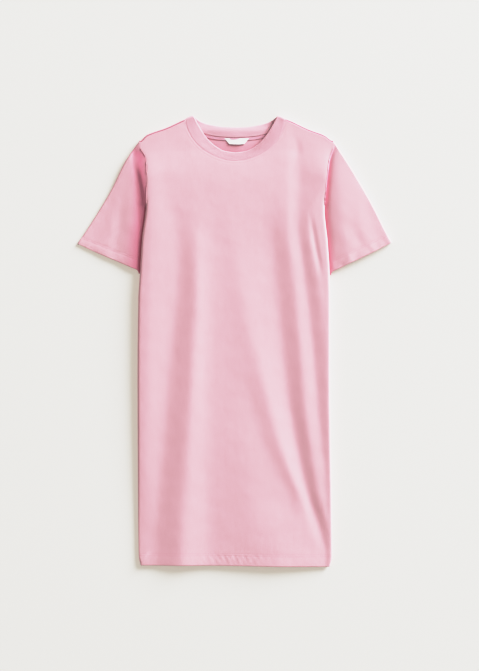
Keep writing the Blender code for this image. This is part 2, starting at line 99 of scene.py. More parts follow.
def creaseLines(table):
    levels = table["levels"]
    lines = []
    for row in table["lines"]:
        soft = row["soft"] if isinstance(row["soft"], list) else [row["soft"]] * len(levels)
        columns = {"x": row["x"], "z": row["z"], "soft": soft}
        lines.append({key: curve(levels, column) for key, column in columns.items()})
    return lines


def shortCreases(folds, x, y):  # soft ridges and dips between two points, fading at both ends
    z = 0 * x
    for fold in folds:
        (ax, ay), (bx, by) = fold["from"], fold["to"]
        long = math.dist((ax, ay), (bx, by))
        ux, uy = (bx - ax) / long, (by - ay) / long
        along = (x - ax) * ux + (y - ay) * uy
        off = (y - ay) * ux - (x - ax) * uy + fold.get("bow", 0) * np.sin(np.pi * along / long)
        fade = ease(-0.15 * long, 0.35 * long, along) * (1 - ease(0.65 * long, 1.15 * long, along))
        z = z + fold["rise"] * swell(off, fold["wide"]) * fade
    return z


def ripple(x, y, wide, seed):  # an even, gentle unevenness, from -1 to 1
    total = 0 * x
    for n in range(6):
        turn = seed * 1.7 + n * 2.399
        step = 2 * np.pi / (wide * (0.75 + 0.11 * n))
        bend = 0.8 * np.sin((x * np.sin(turn) - y * np.cos(turn)) * step * 0.43 + n)
        total = total + np.sin((x * np.cos(turn) + y * np.sin(turn)) * step + bend + seed * (n + 1))
    return total / 6


# The body: its outline on the left and right, and how high its side fold stands.
body = {
    "y": [-449, -428, -318, -198, -78, 82, 136, 202, 266, 322, 362, 374, 388, 402],
    "left": [-189, -192.5, -194, -194.6, -195, -193.4, -190, -186, -178, -176, -178, -182, -190.5,
             -190.5],
    "right": [190, 194.5, 194, 192, 190.6, 190.6, 189.4, 185, 179.2, 183, 188, 191, 196.5, 196.5],
    "fold": [5.5, 5.8, 6.5, 6.8, 7.2, 8, 8.6, 9.2, 9.5, 9.5, 9.3, 9, 9, 9],
    "sideReach": 4.0,
    "hemY": -449.0,
    "armpitY": 266.0,
    "armpitReach": 25.0,
    "tipY": 402.0,
    "cloth": 1.0,
    "hemRound": 1.05,
    "hemStitches": (19.4, 24.0),
    "hemDrop": 2.6,  # how much lower the hem hangs towards the right, over these stretches
    "dropX": (-70, 150),
    "dropY": (-449, -330),
}

# The line of the shoulder fold from above. The back turns over it and meets the front just past it.
shoulder = {
    "x": [-190.5, -189.5, -176.6, -136, -102.6, -84, -60, 60, 86, 107.8, 148.6, 179.2, 195.5,
          196.5],
    "y": [402, 402, 413, 428, 443.4, 451.4, 452, 452, 451.4, 443, 424, 412.5, 402, 402],
    "radius": 5.0,
    "seamForward": 3.2,
    "loftIn": (4, 90),  # below the fold, where the creases come in
}

neck = {
    "centreX": 1.0,
    "halfWidth": 99.0,
    "frontY": 360.0,
    "frontPower": 1.85,
    "backY": 407.4,
    "backPower": 2.4,
    "stitches": (1.5, 5.6),
    "stitchEnds": 14,  # points of the neckline left bare at each end of a row
    "backLift": 4.6,  # how far the back neck stands off the floor, and where
    "liftWide": 88,
    "liftFrom": (330, 400),
    "liftTo": (418, 440),
    "hollowShade": 0.27,  # how much painted shade reddens the inside of the back neck
    "hollowShadeWide": 90,
    "hollowShadeFrom": (325, 360),
}

# Long creases of the front, from its left side to its right: place, height and softness.
frontFolds = {
    "levels": [-418, -378, -318, -258, -198, -138, -58, 22, 102, 182, 242, 322, 382],
    "lines": [
        {"x": [-194, -194, -195, -195, -196, -196, -196, -196, -195, -191, -187, -184, -186],
         "z": [6.8, 7.2, 8.6, 10.0, 11.2, 12.2, 13.0, 13.6, 14.2, 14.6, 15.0, 15.2, 12.8],
         "soft": 6},
        {"x": [-178, -178, -179, -179, -179, -178, -177, -176, -175, -171, -168, -168, -172],
         "z": [7.4, 8.0, 10.0, 11.8, 13.0, 14.0, 14.8, 15.4, 16.0, 16.8, 17.2, 16.6, 13.4],
         "soft": 11},
        {"x": [-158, -157, -152, -147, -142, -137, -130, -122, -114, -110, -118, -142, -148],
         "z": [6.9, 7.2, 7.8, 8.4, 9.0, 9.5, 9.8, 10.1, 10.8, 12.0, 13.3, 14.8, 12.8],
         "soft": 11},
        {"x": [-107, -106, -102, -98, -94, -90, -85, -81, -77, -78, -82, -86, -86],
         "z": [15.4, 16.0, 16.7, 17.1, 17.4, 17.5, 17.4, 17.3, 17.1, 16.6, 15.2, 14.6, 12.0],
         "soft": [11, 12, 13, 12, 11, 10, 9, 9, 9, 9, 12, 16, 16]},
        {"x": [-53, -54, -55, -55, -55, -54, -55, -55, -54, -52, -48, -50, -50],
         "z": [7.7, 8.1, 8.9, 9.8, 10.7, 11.1, 11.5, 11.8, 12.1, 12.7, 13.8, 14.5, 11.8],
         "soft": 18},
        {"x": [50, 44, 34, 24, 13, 2, -8, -14, -18, -24, -30, -32, -32],
         "z": [13.2, 13.2, 12.9, 12.8, 12.7, 12.5, 12.2, 12.2, 12.6, 13.1, 13.9, 14.5, 11.8],
         "soft": 16},
        {"x": [88, 92, 112, 86, 56, 38, 18, 8, 0, -12, -22, -22, -22],
         "z": [13.8, 12.6, 9.6, 10.8, 11.4, 11.8, 13.0, 13.4, 13.7, 13.5, 14.1, 14.5, 11.8],
         "soft": 9},
        {"x": [168, 152, 132, 108, 87, 70, 50, 27, 12, -4, -14, -14, -14],
         "z": [8.2, 9.8, 11.6, 13.0, 13.8, 14.4, 14.8, 14.7, 14.4, 14.1, 14.3, 14.5, 11.8],
         "soft": [6, 6, 6, 6, 7, 8, 10, 14, 16, 18, 20, 20, 20]},
        {"x": [182, 170, 150, 134, 122, 111, 100, 92, 84, 78, 72, 66, 62],
         "z": [6.8, 7.0, 7.4, 7.6, 7.6, 7.8, 8.2, 8.6, 9.0, 9.8, 11.8, 13.0, 11.2],
         "soft": [3, 4, 5, 6, 7, 8, 9, 10, 12, 12, 14, 20, 20]},
        {"x": [189, 186, 170, 158, 149, 140, 134, 127, 120, 110, 104, 106, 108],
         "z": [8.0, 10.0, 12.4, 13.2, 13.9, 14.4, 14.8, 14.9, 15.0, 15.3, 14.8, 12.9, 11.5],
         "soft": [3, 4, 5, 6, 6, 7, 7, 7, 8, 8, 9, 9, 6]},
        {"x": [192, 190, 184, 180, 172, 166, 160, 152, 143, 132, 125, 126, 124],
         "z": [8.0, 9.6, 11.0, 11.2, 11.0, 10.9, 11.1, 11.5, 11.9, 12.2, 12.4, 10.6, 9.4],
         "soft": [5, 5, 5, 5, 5, 5, 5, 5, 5, 5, 6, 8, 6]},
        {"x": [194, 193, 190, 189, 187, 184, 182, 177, 166, 151, 148, 178, 182],
         "z": [8.0, 9.8, 12.0, 13.0, 13.6, 14.2, 14.8, 15.4, 15.8, 16.0, 15.8, 16.0, 13.8],
         "soft": 5},
    ],
    "short": [
        {"from": (151, 250), "to": (173, 130), "rise": -1.5, "wide": 4.5, "bow": 1},
        {"from": (99, 424), "to": (95, 404), "rise": -0.3, "wide": 4},
        {"from": (119, 414), "to": (126, 372), "rise": -1.1, "wide": 5, "bow": -2},
        {"from": (140, 410), "to": (147, 386), "rise": -0.9, "wide": 4},
        {"from": (-196, -446), "to": (-172, -424), "rise": 1.0, "wide": 3.6},
    ],
}

bodyLeft, bodyRight = curve(body["y"], body["left"]), curve(body["y"], body["right"])
sideFold = curve(body["y"], body["fold"])
shoulderY = curve(shoulder["x"], shoulder["y"])
frontLines = creaseLines(frontFolds)
foldTurn = math.pi / 2 * shoulder["radius"]  # cloth from the crest of the fold to where it levels
seamOver = shoulder["radius"] * math.acos(1 - shoulder["seamForward"] / shoulder["radius"])
armRoll = {  # how far the front rolls down towards each armhole seam, and from how far in
    "y": [266, 290, 330, 365, 392, 402],
    "left": [0.4, 0.45, 0.45, 0.5, 0.3, 0.0],
    "right": [0.5, 0.5, 0.5, 0.4, 0.2, 0.0],
    "reach": 5.0,
    "fromArmpit": (-2, 26),
    "fromShoulder": (9, 40),
}


def frontLoft(x, y):  # height of the front where no edge rounds it off
    height = creased(frontLines, x, y) + shortCreases(frontFolds["short"], x, y)
    below = shoulderY(x) - y
    return lerp(2 * shoulder["radius"], height, ease(*shoulder["loftIn"], below))


def sideLevel(x, y):
    edge = np.minimum(x - bodyLeft(y), bodyRight(y) - x)
    arm = quarterRound((y - body["armpitY"]) / body["armpitReach"])
    return np.maximum(arm, quarterRound(edge / body["sideReach"]))


def armRollOff(x, y):
    drop = 0 * x
    for side, off in (("left", x - bodyLeft(y)), ("right", bodyRight(y) - x)):
        level = quarterRound(off / armRoll["reach"])
        drop = drop + curve(armRoll["y"], armRoll[side])(y) * (1 - level)
    low, high = armRoll["fromArmpit"]
    return drop * ease(body["armpitY"] + low, body["armpitY"] + high, y)


def frontZ(x, y):
    radius = shoulder["radius"]
    loft = frontLoft(x, y)
    below = shoulderY(x) - y
    turned = radius + (loft - radius) * quarterRound(below / radius)
    seam = sideFold(y)
    rolled = armRollOff(x, y) * ease(*armRoll["fromShoulder"], below)
    level = seam + (loft - seam) * sideLevel(x, y) - rolled
    return np.where(below < radius, turned, level)


def frontAt(x, y):
    return np.stack([x, y, frontZ(x, y)], axis=-1)


backFolds = [  # shallow creases of the back, where it lifts off the floor
    {"from": (-120, -440), "to": (-80, -120), "rise": 1.6, "wide": 9, "bow": 8},
    {"from": (-30, -300), "to": (-44, 120), "rise": 1.3, "wide": 11, "bow": -6},
    {"from": (70, -445), "to": (96, -60), "rise": 1.8, "wide": 8, "bow": 6},
    {"from": (128, -180), "to": (110, 220), "rise": 1.4, "wide": 10, "bow": 7},
    {"from": (-130, 60), "to": (-110, 300), "rise": 1.2, "wide": 9, "bow": -5},
    {"from": (20, 160), "to": (10, 380), "rise": 0.9, "wide": 14, "bow": 3},
]


def backZ(x, y):
    lift = neck["backLift"] * swell(x - neck["centreX"], neck["liftWide"])
    lift = lift * ease(*neck["liftFrom"], y) * (1 - ease(*neck["liftTo"], y))
    rise = shortCreases(backFolds, x, y) + lift
    return sideFold(y) * (1 - sideLevel(x, y)) + rise * sideLevel(x, y)


def overShoulder(x, over):  # a distance over the cloth from the crest of the shoulder fold
    radius, crest = shoulder["radius"], shoulderY(x)
    frontY = crest - radius - (over - foldTurn)
    backY = crest - radius + (over + foldTurn)
    angle = np.clip(over / radius, -math.pi / 2, math.pi / 2)
    y = np.where(over >= foldTurn, frontY, crest - radius * (1 - np.cos(angle)))
    y = np.where(over <= -foldTurn, backY, y)
    z = np.where(over >= foldTurn, frontZ(x, frontY), radius * (1 + np.sin(angle)))
    z = np.where(over <= -foldTurn, backZ(x, backY), z)
    return np.stack([x + 0 * over, y, z], axis=-1)


def frontOver(x, y):
    radius, below = shoulder["radius"], shoulderY(x) - y
    turned = radius * np.arccos(np.clip(1 - below / radius, -1, 1))
    return np.where(below < radius, turned, foldTurn + below - radius)


def backOver(x, flatY):
    return flatY - (shoulderY(x) - shoulder["radius"]) - foldTurn


def frontSeamY(x):
    return shoulderY(x) - shoulder["seamForward"]


def backSeamY(x):
    return seamOver + foldTurn + shoulderY(x) - shoulder["radius"]


def spaced(line, count):  # points evenly along a line, and the length up to each
    runs = np.concatenate([[0], np.cumsum(np.linalg.norm(np.diff(line, axis=0), axis=1))])
    at = np.linspace(0, runs[-1], count + 1)
    return np.stack([np.interp(at, runs, line[:, k]) for k in range(line.shape[1])], axis=1), at


def neckLine(levelOf, lowY, power, halfWidth=None):
    turn = np.linspace(0, math.pi, 721)
    across = -np.sign(np.cos(turn)) * np.abs(np.cos(turn)) ** (2 / power)
    ends = [levelOf(np.array(neck["centreX"] + side * neck["halfWidth"])) for side in (-1, 1)]
    level = lerp(ends[0], ends[1], (across + 1) / 2)
    line = np.stack([neck["centreX"] + neck["halfWidth"] * across,
                     lerp(level, lowY, np.sin(turn) ** (2 / power))], axis=1)
    if halfWidth:
        line = line[np.abs(line[:, 0] - neck["centreX"]) < halfWidth]
    return line


def lineNormals(line):  # to the left of the way along it
    way = np.gradient(line, axis=0)
    way /= np.linalg.norm(way, axis=1)[:, None]
    return np.stack([-way[:, 1], way[:, 0]], axis=1)


def farFrom(line, x, y):  # distance of each point from a line
    far = np.full(x.shape, 1e9)
    for (ax, ay), (bx, by) in zip(line[:-1], line[1:]):
        long2 = (bx - ax) ** 2 + (by - ay) ** 2
        t = np.clip(((x - ax) * (bx - ax) + (y - ay) * (by - ay)) / max(long2, 1e-9), 0, 1)
        far = np.minimum(far, np.hypot(x - ax - t * (bx - ax), y - ay - t * (by - ay)))
    return far


frontNeckLine = neckLine(frontSeamY, neck["frontY"], neck["frontPower"])
backNeckLine = neckLine(backSeamY, neck["backY"], neck["backPower"])


class Value:  # a socket of a material that takes part in sums
    def __init__(self, paint, socket):
        self.paint, self.socket = paint, socket

    def sum(self, operation, *others):
        sockets = enumerate((self, *others))
        return self.paint.node("ShaderNodeMath", {"operation": operation}, sockets)

    def __add__(self, other):
        return self.sum("ADD", other)

    def __sub__(self, other):
        return self.sum("SUBTRACT", other)

    def __rsub__(self, other):
        return (self * -1) + other

    def __mul__(self, other):
        return self.sum("MULTIPLY", other)

    def __truediv__(self, other):
        return self.sum("DIVIDE", other)

    def __pow__(self, other):
        return self.sum("POWER", other)

    __radd__, __rmul__ = __add__, __mul__


# Painted shade: what a seam, and then a hollow, take from the red, green and blue of a cloth.
clothLosses = ((0.45, 0.08), (0.75, 0.5), (0.65, 0.34))


class Paint:  # one material and its nodes
    def __init__(self, name, settings):
        self.material = bpy.data.materials.new(name)
        self.material.use_nodes = True
        self.tree = self.material.node_tree
        self.surface = self.tree.nodes["Principled BSDF"]
        for socket, value in settings.items():
            self.surface.inputs[socket].default_value = value

    def node(self, kind, settings, sockets, output=0):
        made = self.tree.nodes.new(kind)
        for key, value in settings.items():
            setattr(made, key, value)
        self.fill(made, sockets)
        return Value(self, made.outputs[output])

    def fill(self, made, sockets):
        for key, value in sockets:
            if isinstance(value, Value):
                self.tree.links.new(value.socket, made.inputs[key])
            elif value is not None:
                made.inputs[key].default_value = value

    def finish(self, **links):
        self.fill(self.surface, [(key.replace("_", " "), value) for key, value in links.items()])
        return self.material

    def cut(self):  # the piece's own place on its cut, in millimetres, and its painted shade in a seam or hollow
        place = self.node("ShaderNodeAttribute", {"attribute_name": "cut"}, [], "Vector")
        return [self.node("ShaderNodeSeparateXYZ", {}, [(0, place)], k) for k in range(3)]

    def vector(self, x, y, z=0.0):
        return self.node("ShaderNodeCombineXYZ", {}, [(0, x), (1, y), (2, z)])

    def noise(self, place, scale, detail=2.0):
        return self.node("ShaderNodeTexNoise", {"noise_dimensions": "3D"},
                         [("Vector", place), ("Scale", scale), ("Detail", detail)], "Fac")

    # Seam and hollow values darken the colour as painted shade, greyer in a seam and redder in a
    # hollow.
    def shaded(self, colour, shade, seam=0.0, hollowShade=0.0):  # a colour times a number
        grey = self.vector(*(shade * (1 - seam * dark) * (1 - hollowShade * hollowShadeLoss)
                             for dark, hollowShadeLoss in clothLosses))
        return self.node("ShaderNodeMix", {"data_type": "RGBA", "blend_type": "MULTIPLY"},
                         [(0, 1.0), (6, colour), (7, grey)], 2)

    def bump(self, height, distance, strength, normal=None):
        return self.node("ShaderNodeBump", {}, [("Height", height), ("Distance", distance),
                                                ("Strength", strength), ("Normal", normal)])


cotton = {"Roughness": 0.86, "Sheen Weight": 0.1, "Sheen Roughness": 0.45,
          "Sheen Tint": (1.0, 0.86, 0.9, 1.0), "Specular IOR Level": 0.22}
jersey = {
    "colour": (0.855, 0.53, 0.582, 1.0),
    "wale": 0.95,  # width of a knitted column
    "course": 0.72,  # height of a knitted row
    "knitDeep": 0.00022,
}
rib = {"colour": (0.85, 0.522, 0.582, 1.0), "wale": 1.05, "course": 0.8, "knitDeep": 0.0002}


def jerseyPaint():
    paint = Paint("jersey", cotton)
    u, v, depth = paint.cut()
    # The cut's third value is painted shade: above zero in a seam, below zero in a hollow.
    seam, hollowShade = depth.sum("MAXIMUM", 0.0), (depth * -1).sum("MAXIMUM", 0.0)
    across = (u / jersey["wale"]).sum("FRACT") * 2 - 1
    side = across.sum("ABSOLUTE")  # 0 in the middle of a knitted column, 1 between two
    loops = ((v / jersey["course"] + side * 0.55) * (2 * math.pi)).sum("COSINE")
    knit = (1 - side * side) * (loops * 0.3 + 0.7)
    fine = paint.noise(paint.vector(u * 0.9, v * 0.9), 1.0, 3.0)
    yarn = paint.noise(paint.vector(u * 0.8, v * 0.035), 1.0, 2.0)
    cloudy = paint.noise(paint.vector(u * 0.02, v * 0.014, 4.0), 1.0, 2.0)
    tone = 0.925 + fine * 0.05 + yarn * 0.05 + cloudy * 0.04 + knit * 0.02
    base = paint.shaded(jersey["colour"], tone, seam, hollowShade)
    lint = paint.noise(paint.vector(u * 2.3, v * 2.3, 9.0), 1.0, 2.0)
    relief = paint.bump(knit + lint * 0.5, jersey["knitDeep"], 0.55)
    return paint.finish(Base_Color=base, Roughness=0.8 + fine * 0.12, Normal=relief)


def ribPaint():
    paint = Paint("rib", cotton)
    # The third value of the cut is painted shade at the band's seam and join.
    u, v, seam = paint.cut()
    loops = (v / rib["course"] + (u / rib["wale"]).sum("FRACT")) * (2 * math.pi)
    loops = loops.sum("COSINE")
    fine = paint.noise(paint.vector(u, v), 1.2, 3.0)
    cloudy = paint.noise(paint.vector(u * 0.03, v * 0.05, 2.0), 1.0, 2.0)
    base = paint.shaded(rib["colour"], 0.94 + fine * 0.05 + cloudy * 0.04, seam)
    relief = paint.bump(loops * 0.5 + fine, rib["knitDeep"], 0.5)
    return paint.finish(Base_Color=base, Roughness=0.8 + fine * 0.12, Normal=relief)


def tapePaint():  # a narrow herringbone binding
    paint = Paint("tape", {"Sheen Weight": 0.15, "Sheen Roughness": 0.5, "Specular IOR Level": 0.2})
    # The third value of the cut is painted shade along the tape's edges.
    u, v, seam = paint.cut()
    zig = ((v / 2.1).sum("FRACT") * 2 - 1).sum("ABSOLUTE")
    twill = ((u / 0.7 + zig * 1.6) * (2 * math.pi)).sum("SINE")
    fine = paint.noise(paint.vector(u, v), 1.5, 2.0)
    tone = (0.93 + twill * 0.03 + fine * 0.08) * (1 - seam * 0.4)
    base = paint.shaded((0.82, 0.46, 0.545, 1.0), tone)
    relief = paint.bump(twill * 0.5 + fine, 0.00018, 0.6)
    return paint.finish(Base_Color=base, Roughness=0.78 + fine * 0.12, Normal=relief)


def labelPaint():  # white satin weave
    paint = Paint("wovenLabel", {"Sheen Weight": 0.1, "Specular IOR Level": 0.4})
    # The third value of the cut is painted shade along the sewn top edge.
    u, v, seam = paint.cut()
    weave = (u * (2 * math.pi / 0.34)).sum("SINE") * 0.5
    weave = weave + (v * (2 * math.pi / 0.26)).sum("SINE") * 0.5
    fine = paint.noise(paint.vector(u, v * 3), 1.6, 2.0)
    tone = (0.95 + fine * 0.06 + weave * 0.01) * (1 - seam * 0.25)
    base = paint.shaded((0.9, 0.885, 0.885, 1.0), tone)
    relief = paint.bump(weave * 0.5 + fine * 0.4, 0.00009, 0.5)
    return paint.finish(Base_Color=base, Roughness=0.5 + fine * 0.16, Normal=relief)


def threadPaint(name, colour):  # spun sewing thread
    paint = Paint(name, {"Sheen Weight": 0.1, "Specular IOR Level": 0.3})
    place = paint.node("ShaderNodeTexCoord", {}, [], "Object")
    fine = paint.noise(place, 1400.0, 2.0)
    slow = paint.noise(place, 60.0, 2.0)
    base = paint.shaded(colour, 0.86 + fine * 0.16 + slow * 0.1)
    relief = paint.bump(fine, 0.00008, 0.6)
    return paint.finish(Base_Color=base, Roughness=0.6 + fine * 0.16, Normal=relief)


def floorPaint():
    paint = Paint("lightTable", {"Specular IOR Level": 0.1, "Emission Strength": 0.36,
                                 "Emission Color": (1.0, 0.91, 0.76, 1.0)})
    place = paint.node("ShaderNodeTexCoord", {}, [], "Object")
    fine = paint.noise(place, 420.0, 3.0)
    slow = paint.noise(place, 1.6, 2.0)
    base = paint.shaded((0.527, 0.55, 0.56, 1.0), 0.975 + fine * 0.02 + slow * 0.02)
    relief = paint.bump(fine, 0.0002, 0.25)
    return paint.finish(Base_Color=base, Roughness=0.86 + fine * 0.08, Normal=relief)


jerseyMaterial, ribMaterial, tapeMaterial, labelMaterial = (
    jerseyPaint(), ribPaint(), tapePaint(), labelPaint())
threadMaterial = threadPaint("pinkThread", (0.82, 0.475, 0.55, 1.0))
whiteThreadMaterial = threadPaint("whiteThread", (0.86, 0.84, 0.84, 1.0))
print("materials made")

pieces = {}


def faceNormals(points, up=None, ring=False):
    # up is the way along the rows, where the grid itself turns back at a folded edge
    if ring:
        across = np.roll(points, -1, axis=1) - np.roll(points, 1, axis=1)
    else:
        across = np.gradient(points, axis=1)
    along = np.gradient(points, axis=0) if up is None else up
    normal = np.cross(across, along)
    return normal / np.maximum(np.linalg.norm(normal, axis=-1), 1e-9)[..., None]


def hangPiece(name, mesh, material, node=None, wall=None):
    data = bpy.data.meshes.new(name)
    mesh.to_mesh(data)
    mesh.free()
    data.shade_smooth()
    data.materials.append(material)
    piece = bpy.data.objects.new(name, data)
    bpy.context.scene.collection.objects.link(piece)
    if wall:
        shell = piece.modifiers.new("Wall", "SOLIDIFY")
        shell.thickness = wall * mm
        shell.offset = -1.0
    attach(piece, "root")
    if node:
        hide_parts(node)
    pieces[name] = piece
    print(name, "has", len(data.polygons), "faces")
    return piece


def layCloth(name, points, cut, wall, material, node, ring=False, flip=False):
    # points and cut hold a place on the outer face and on the cut for each row and column
    rows, columns = points.shape[:2]
    if ring:
        points = np.concatenate([points, points[:, :1]], axis=1)
        cut = np.concatenate([cut, cut[:, -1:]], axis=1)
        columns += 1
    mesh = bmesh.new()
    bmesh.ops.create_grid(mesh, x_segments=columns - 1, y_segments=rows - 1, size=1.0)
    layer = mesh.verts.layers.float_vector.new("cut")
    for vert in mesh.verts:
        column = round((vert.co.x + 1) / 2 * (columns - 1))
        row = round((vert.co.y + 1) / 2 * (rows - 1))
        vert[layer] = Vector(cut[row, column])
        vert.co = points[row, column] * mm
    if ring:
        bmesh.ops.remove_doubles(mesh, verts=mesh.verts, dist=0.000001)
    if flip:
        bmesh.ops.reverse_faces(mesh, faces=mesh.faces)
    return hangPiece(name, mesh, material, node, wall)


# Stitches of the main rows, and how far those round the neck are sunk in the cloth.
thread = {"pitch": 2.9, "long": 2.3, "thick": 0.2, "sunk": 0.25}


def stitchMesh():  # one stitch, of a size that sewRow then stretches
    mesh = bmesh.new()
    bmesh.ops.create_uvsphere(mesh, u_segments=6, v_segments=4, radius=1.0)
    data = bpy.data.meshes.new("stitch")
    mesh.to_mesh(data)
    mesh.free()
    return data


def sewRow(mesh, stitch, line, normals, pitch, long, thick):
    # stitches of one length along a line that lies on the cloth
    runs = np.concatenate([[0], np.cumsum(np.linalg.norm(np.diff(line, axis=0), axis=1))])
    count = max(1, round(runs[-1] / pitch))
    share = long / pitch / 2
    ends = [(n + k) * runs[-1] / count for n in range(count) for k in (0.5 - share, 0.5 + share)]
    at = np.stack([np.interp(ends, runs, line[:, k]) for k in range(3)], axis=1)
    out = np.stack([np.interp(ends, runs, normals[:, k]) for k in range(3)], axis=1)
    for n in range(count):
        a, b = Vector(at[2 * n]), Vector(at[2 * n + 1])
        up = Vector(out[2 * n] + out[2 * n + 1]).normalized()
        way = (b - a).normalized()
        cross = up.cross(way).normalized()
        turn = Matrix((cross, up, way)).transposed().to_4x4()
        middle = (a + b) / 2 + up * thick * 0.1
        size = Matrix.Diagonal((thick * mm, thick * 0.8 * mm, (b - a).length / 2 * mm, 1))
        place = Matrix.Translation(middle * mm) @ turn @ size
        stitch.transform(place)
        mesh.from_mesh(stitch)
        stitch.transform(place.inverted())


def threadPiece(name, rows, material, slot, pitch=thread["pitch"], long=thread["long"],
                thick=thread["thick"]):
    mesh, stitch = bmesh.new(), stitchMesh()
    for line, normals in rows:
        sewRow(mesh, stitch, line, normals, pitch, long, thick)
    bpy.data.meshes.remove(stitch)
    return hangPiece(name, mesh, material)


# Rows of a turned-up edge: how far each is from the edge, how deep it lies under the outer face,
# and which way its face looks (1 out, -1 in).
def turnedRows(radius, inner, turns):
    rows = [(away, 2 * radius, -1.0) for away in inner if away > radius]
    for n in range(turns + 1):
        angle = math.pi * (1 - n / turns)
        across, down = 1 - math.sin(angle), 1 - math.cos(angle)
        rows.append((radius * across, radius * down, math.cos(angle)))
    return rows


panelGrain = {
    "sideTurns": (0, 5, 12, 20, 30, 42, 56, 72, 90),
    "neckColumns": 84,
    "neckStep": 3.1,
    "neckTurnIn": 42,  # from each end of the neckline, where its columns come square to it
    "shoulderColumns": 18,
    "hemInner": (25.0, 24.9, 20.0, 15.0, 10.0, 5.0),
    "hemTurns": 6,
    "hemRows": [2.2, 4.0, 6.5, 9.0, 11.5, 14.0, 16.2, 17.6, 18.5, 19.0, 19.4, 19.8, 20.3, 21.2,
                22.2, 23.1, 23.6, 24.0, 24.4, 24.9, 25.4, 26.2, 27.6],
    "lengthStep": 3.1,
    "topGaps": (15.0, 13.0, 11.2, 9.6, 8.2, 7.0, 6.3, 5.6, 4.9, 4.2, 3.4, 2.7, 2.1, 1.5, 1.0, 0.6,
                0.25, 0.0),
    "pull": 5,  # how late the columns turn from the hem's spacing to the top's
    "straight": (6, 24),  # from the top, where they run square to its line
}


def panelColumns(neckPoints, neckNormals, seamY):
    grain, reach = panelGrain, body["sideReach"]
    rims = [reach * (1 - math.cos(math.radians(a))) for a in grain["sideTurns"][:-1]]
    first, last = body["left"][-1] + reach, body["right"][-1] - reach
    steps = grain["shoulderColumns"]
    fromNeck = neckPoints[0][0], neckPoints[-1][0]
    leftX = [lerp(first, fromNeck[0], n / steps) for n in range(steps)]
    rightX = [lerp(fromNeck[1], last, (n + 1) / steps) for n in range(steps)]

    def topY(x):
        return float(seamY(np.array(x)))

    def rimColumn(side, rim):
        x = body["left"][-1] + rim if side < 0 else body["right"][-1] - rim
        return {"side": side, "rim": rim, "topX": x, "topY": topY(x)}

    tops = [(x, topY(x), 0.0, 1.0) for x in leftX]
    count = len(neckPoints)
    for n, ((x, y), (nx, ny)) in enumerate(zip(neckPoints, neckNormals)):
        fromEnd = min(n, count - 1 - n) * grain["neckStep"]
        turn = math.atan2(nx, ny) * float(ease(0, grain["neckTurnIn"], fromEnd))
        tops.append((x, y, math.sin(turn), math.cos(turn)))
    tops += [(x, topY(x), 0.0, 1.0) for x in rightX]
    columns = [rimColumn(-1, rim) for rim in rims]
    for n, (x, y, nx, ny) in enumerate(tops):
        columns.append({"hem": n / (len(tops) - 1), "topX": x, "topY": y, "nx": nx, "ny": ny})
    return columns + [rimColumn(1, rim) for rim in rims[::-1]]


def panelRows(long):
    grain = panelGrain
    rows = turnedRows(body["hemRound"], grain["hemInner"], grain["hemTurns"])
    low = list(grain["hemRows"])
    top = long - grain["topGaps"][0]
    steps = round((top - low[-1]) / grain["lengthStep"])
    low += [lerp(low[-1], top, n / steps) for n in range(1, steps)]
    low += [long - gap for gap in grain["topGaps"]]
    return rows + [(away, 0.0, 1.0) for away in low]


def columnValues(columns, key):
    return np.array([column.get(key, 0.0) for column in columns])[None, :]


def panelCut(columns, away, tipY):
    # where each column crosses each row, on the panel's cut laid out flat
    long = tipY - body["hemY"]
    keys = ("side", "rim", "hem", "topX", "topY", "nx", "ny")
    read = {key: columnValues(columns, key) for key in keys}
    pull = np.clip(away / long, 0, 1) ** panelGrain["pull"]
    y = body["hemY"] + away + pull * (read["topY"] - tipY)
    reach = body["sideReach"]
    left, right = bodyLeft(y) + reach, bodyRight(y) - reach
    topLeft, topRight = bodyLeft(read["topY"]) + reach, bodyRight(read["topY"]) - reach
    topShare = (read["topX"] - topLeft) / (topRight - topLeft)
    x = lerp(left, right, lerp(read["hem"], topShare, pull))
    gap = long - away
    straight = (1 - ease(*panelGrain["straight"], gap)) * (read["side"] == 0)
    x = lerp(x, read["topX"] - read["nx"] * gap, straight)
    y = lerp(y, read["topY"] - read["ny"] * gap, straight)
    x = np.where(read["side"] < 0, bodyLeft(y) + read["rim"], x)
    x = np.where(read["side"] > 0, bodyRight(y) - read["rim"], x)
    return x, y


# The sewn hem: its two lines press in, deepest at one place across, and ripple the cloth below.
hem = {
    "press": 0.05, "pressMore": 0.1, "pressX": 14, "pressWide": 45, "lineWide": 0.62,
    "from": (1, 6), "to": (17, 25), "ripple": 0.26, "calm": 0.12, "rippleX": -4, "rippleWide": 52,
    "waves": (11.5, 19), "puff": 0.1,
}


def hemRelief(x, away):
    relief = 0 * x
    for row in body["hemStitches"]:
        press = hem["press"] + hem["pressMore"] * swell(x - hem["pressX"], hem["pressWide"])
        relief = relief - press * swell(away - row, hem["lineWide"])
    band = ease(*hem["from"], away) * (1 - ease(*hem["to"], away))
    stir = hem["calm"] + (1 - hem["calm"]) * swell(x - hem["rippleX"], hem["rippleWide"])
    short, long = hem["waves"]
    wave = np.sin((x + 0.55 * away) * 2 * np.pi / short + 1.3 * np.sin(x / 17))
    wave = wave + 0.6 * np.sin((x - 0.3 * away) * 2 * np.pi / long)
    puff = hem["puff"] * np.sin(np.pi * np.clip(away / body["hemStitches"][0], 0, 1))
    return relief + hem["ripple"] * stir * band * wave + puff


# The seams of the panels: how deep each presses into the cloth, how wide, and how dark its painted
# shade is.
seams = {
    "side": {"press": 0.16, "wide": 0.8, "dark": 0.12, "darkWide": 0.9},
    "shoulder": {"press": 0.9, "wide": 1.1, "dark": 0.9, "darkWide": 1.3},
    "neckStitch": {"press": 0.16, "wide": 0.7},
    "hemStitch": {"dark": 0.05, "darkWide": 0.8},
    "plain": 0.04,  # the painted shade of the hollow stays off anything darker
}


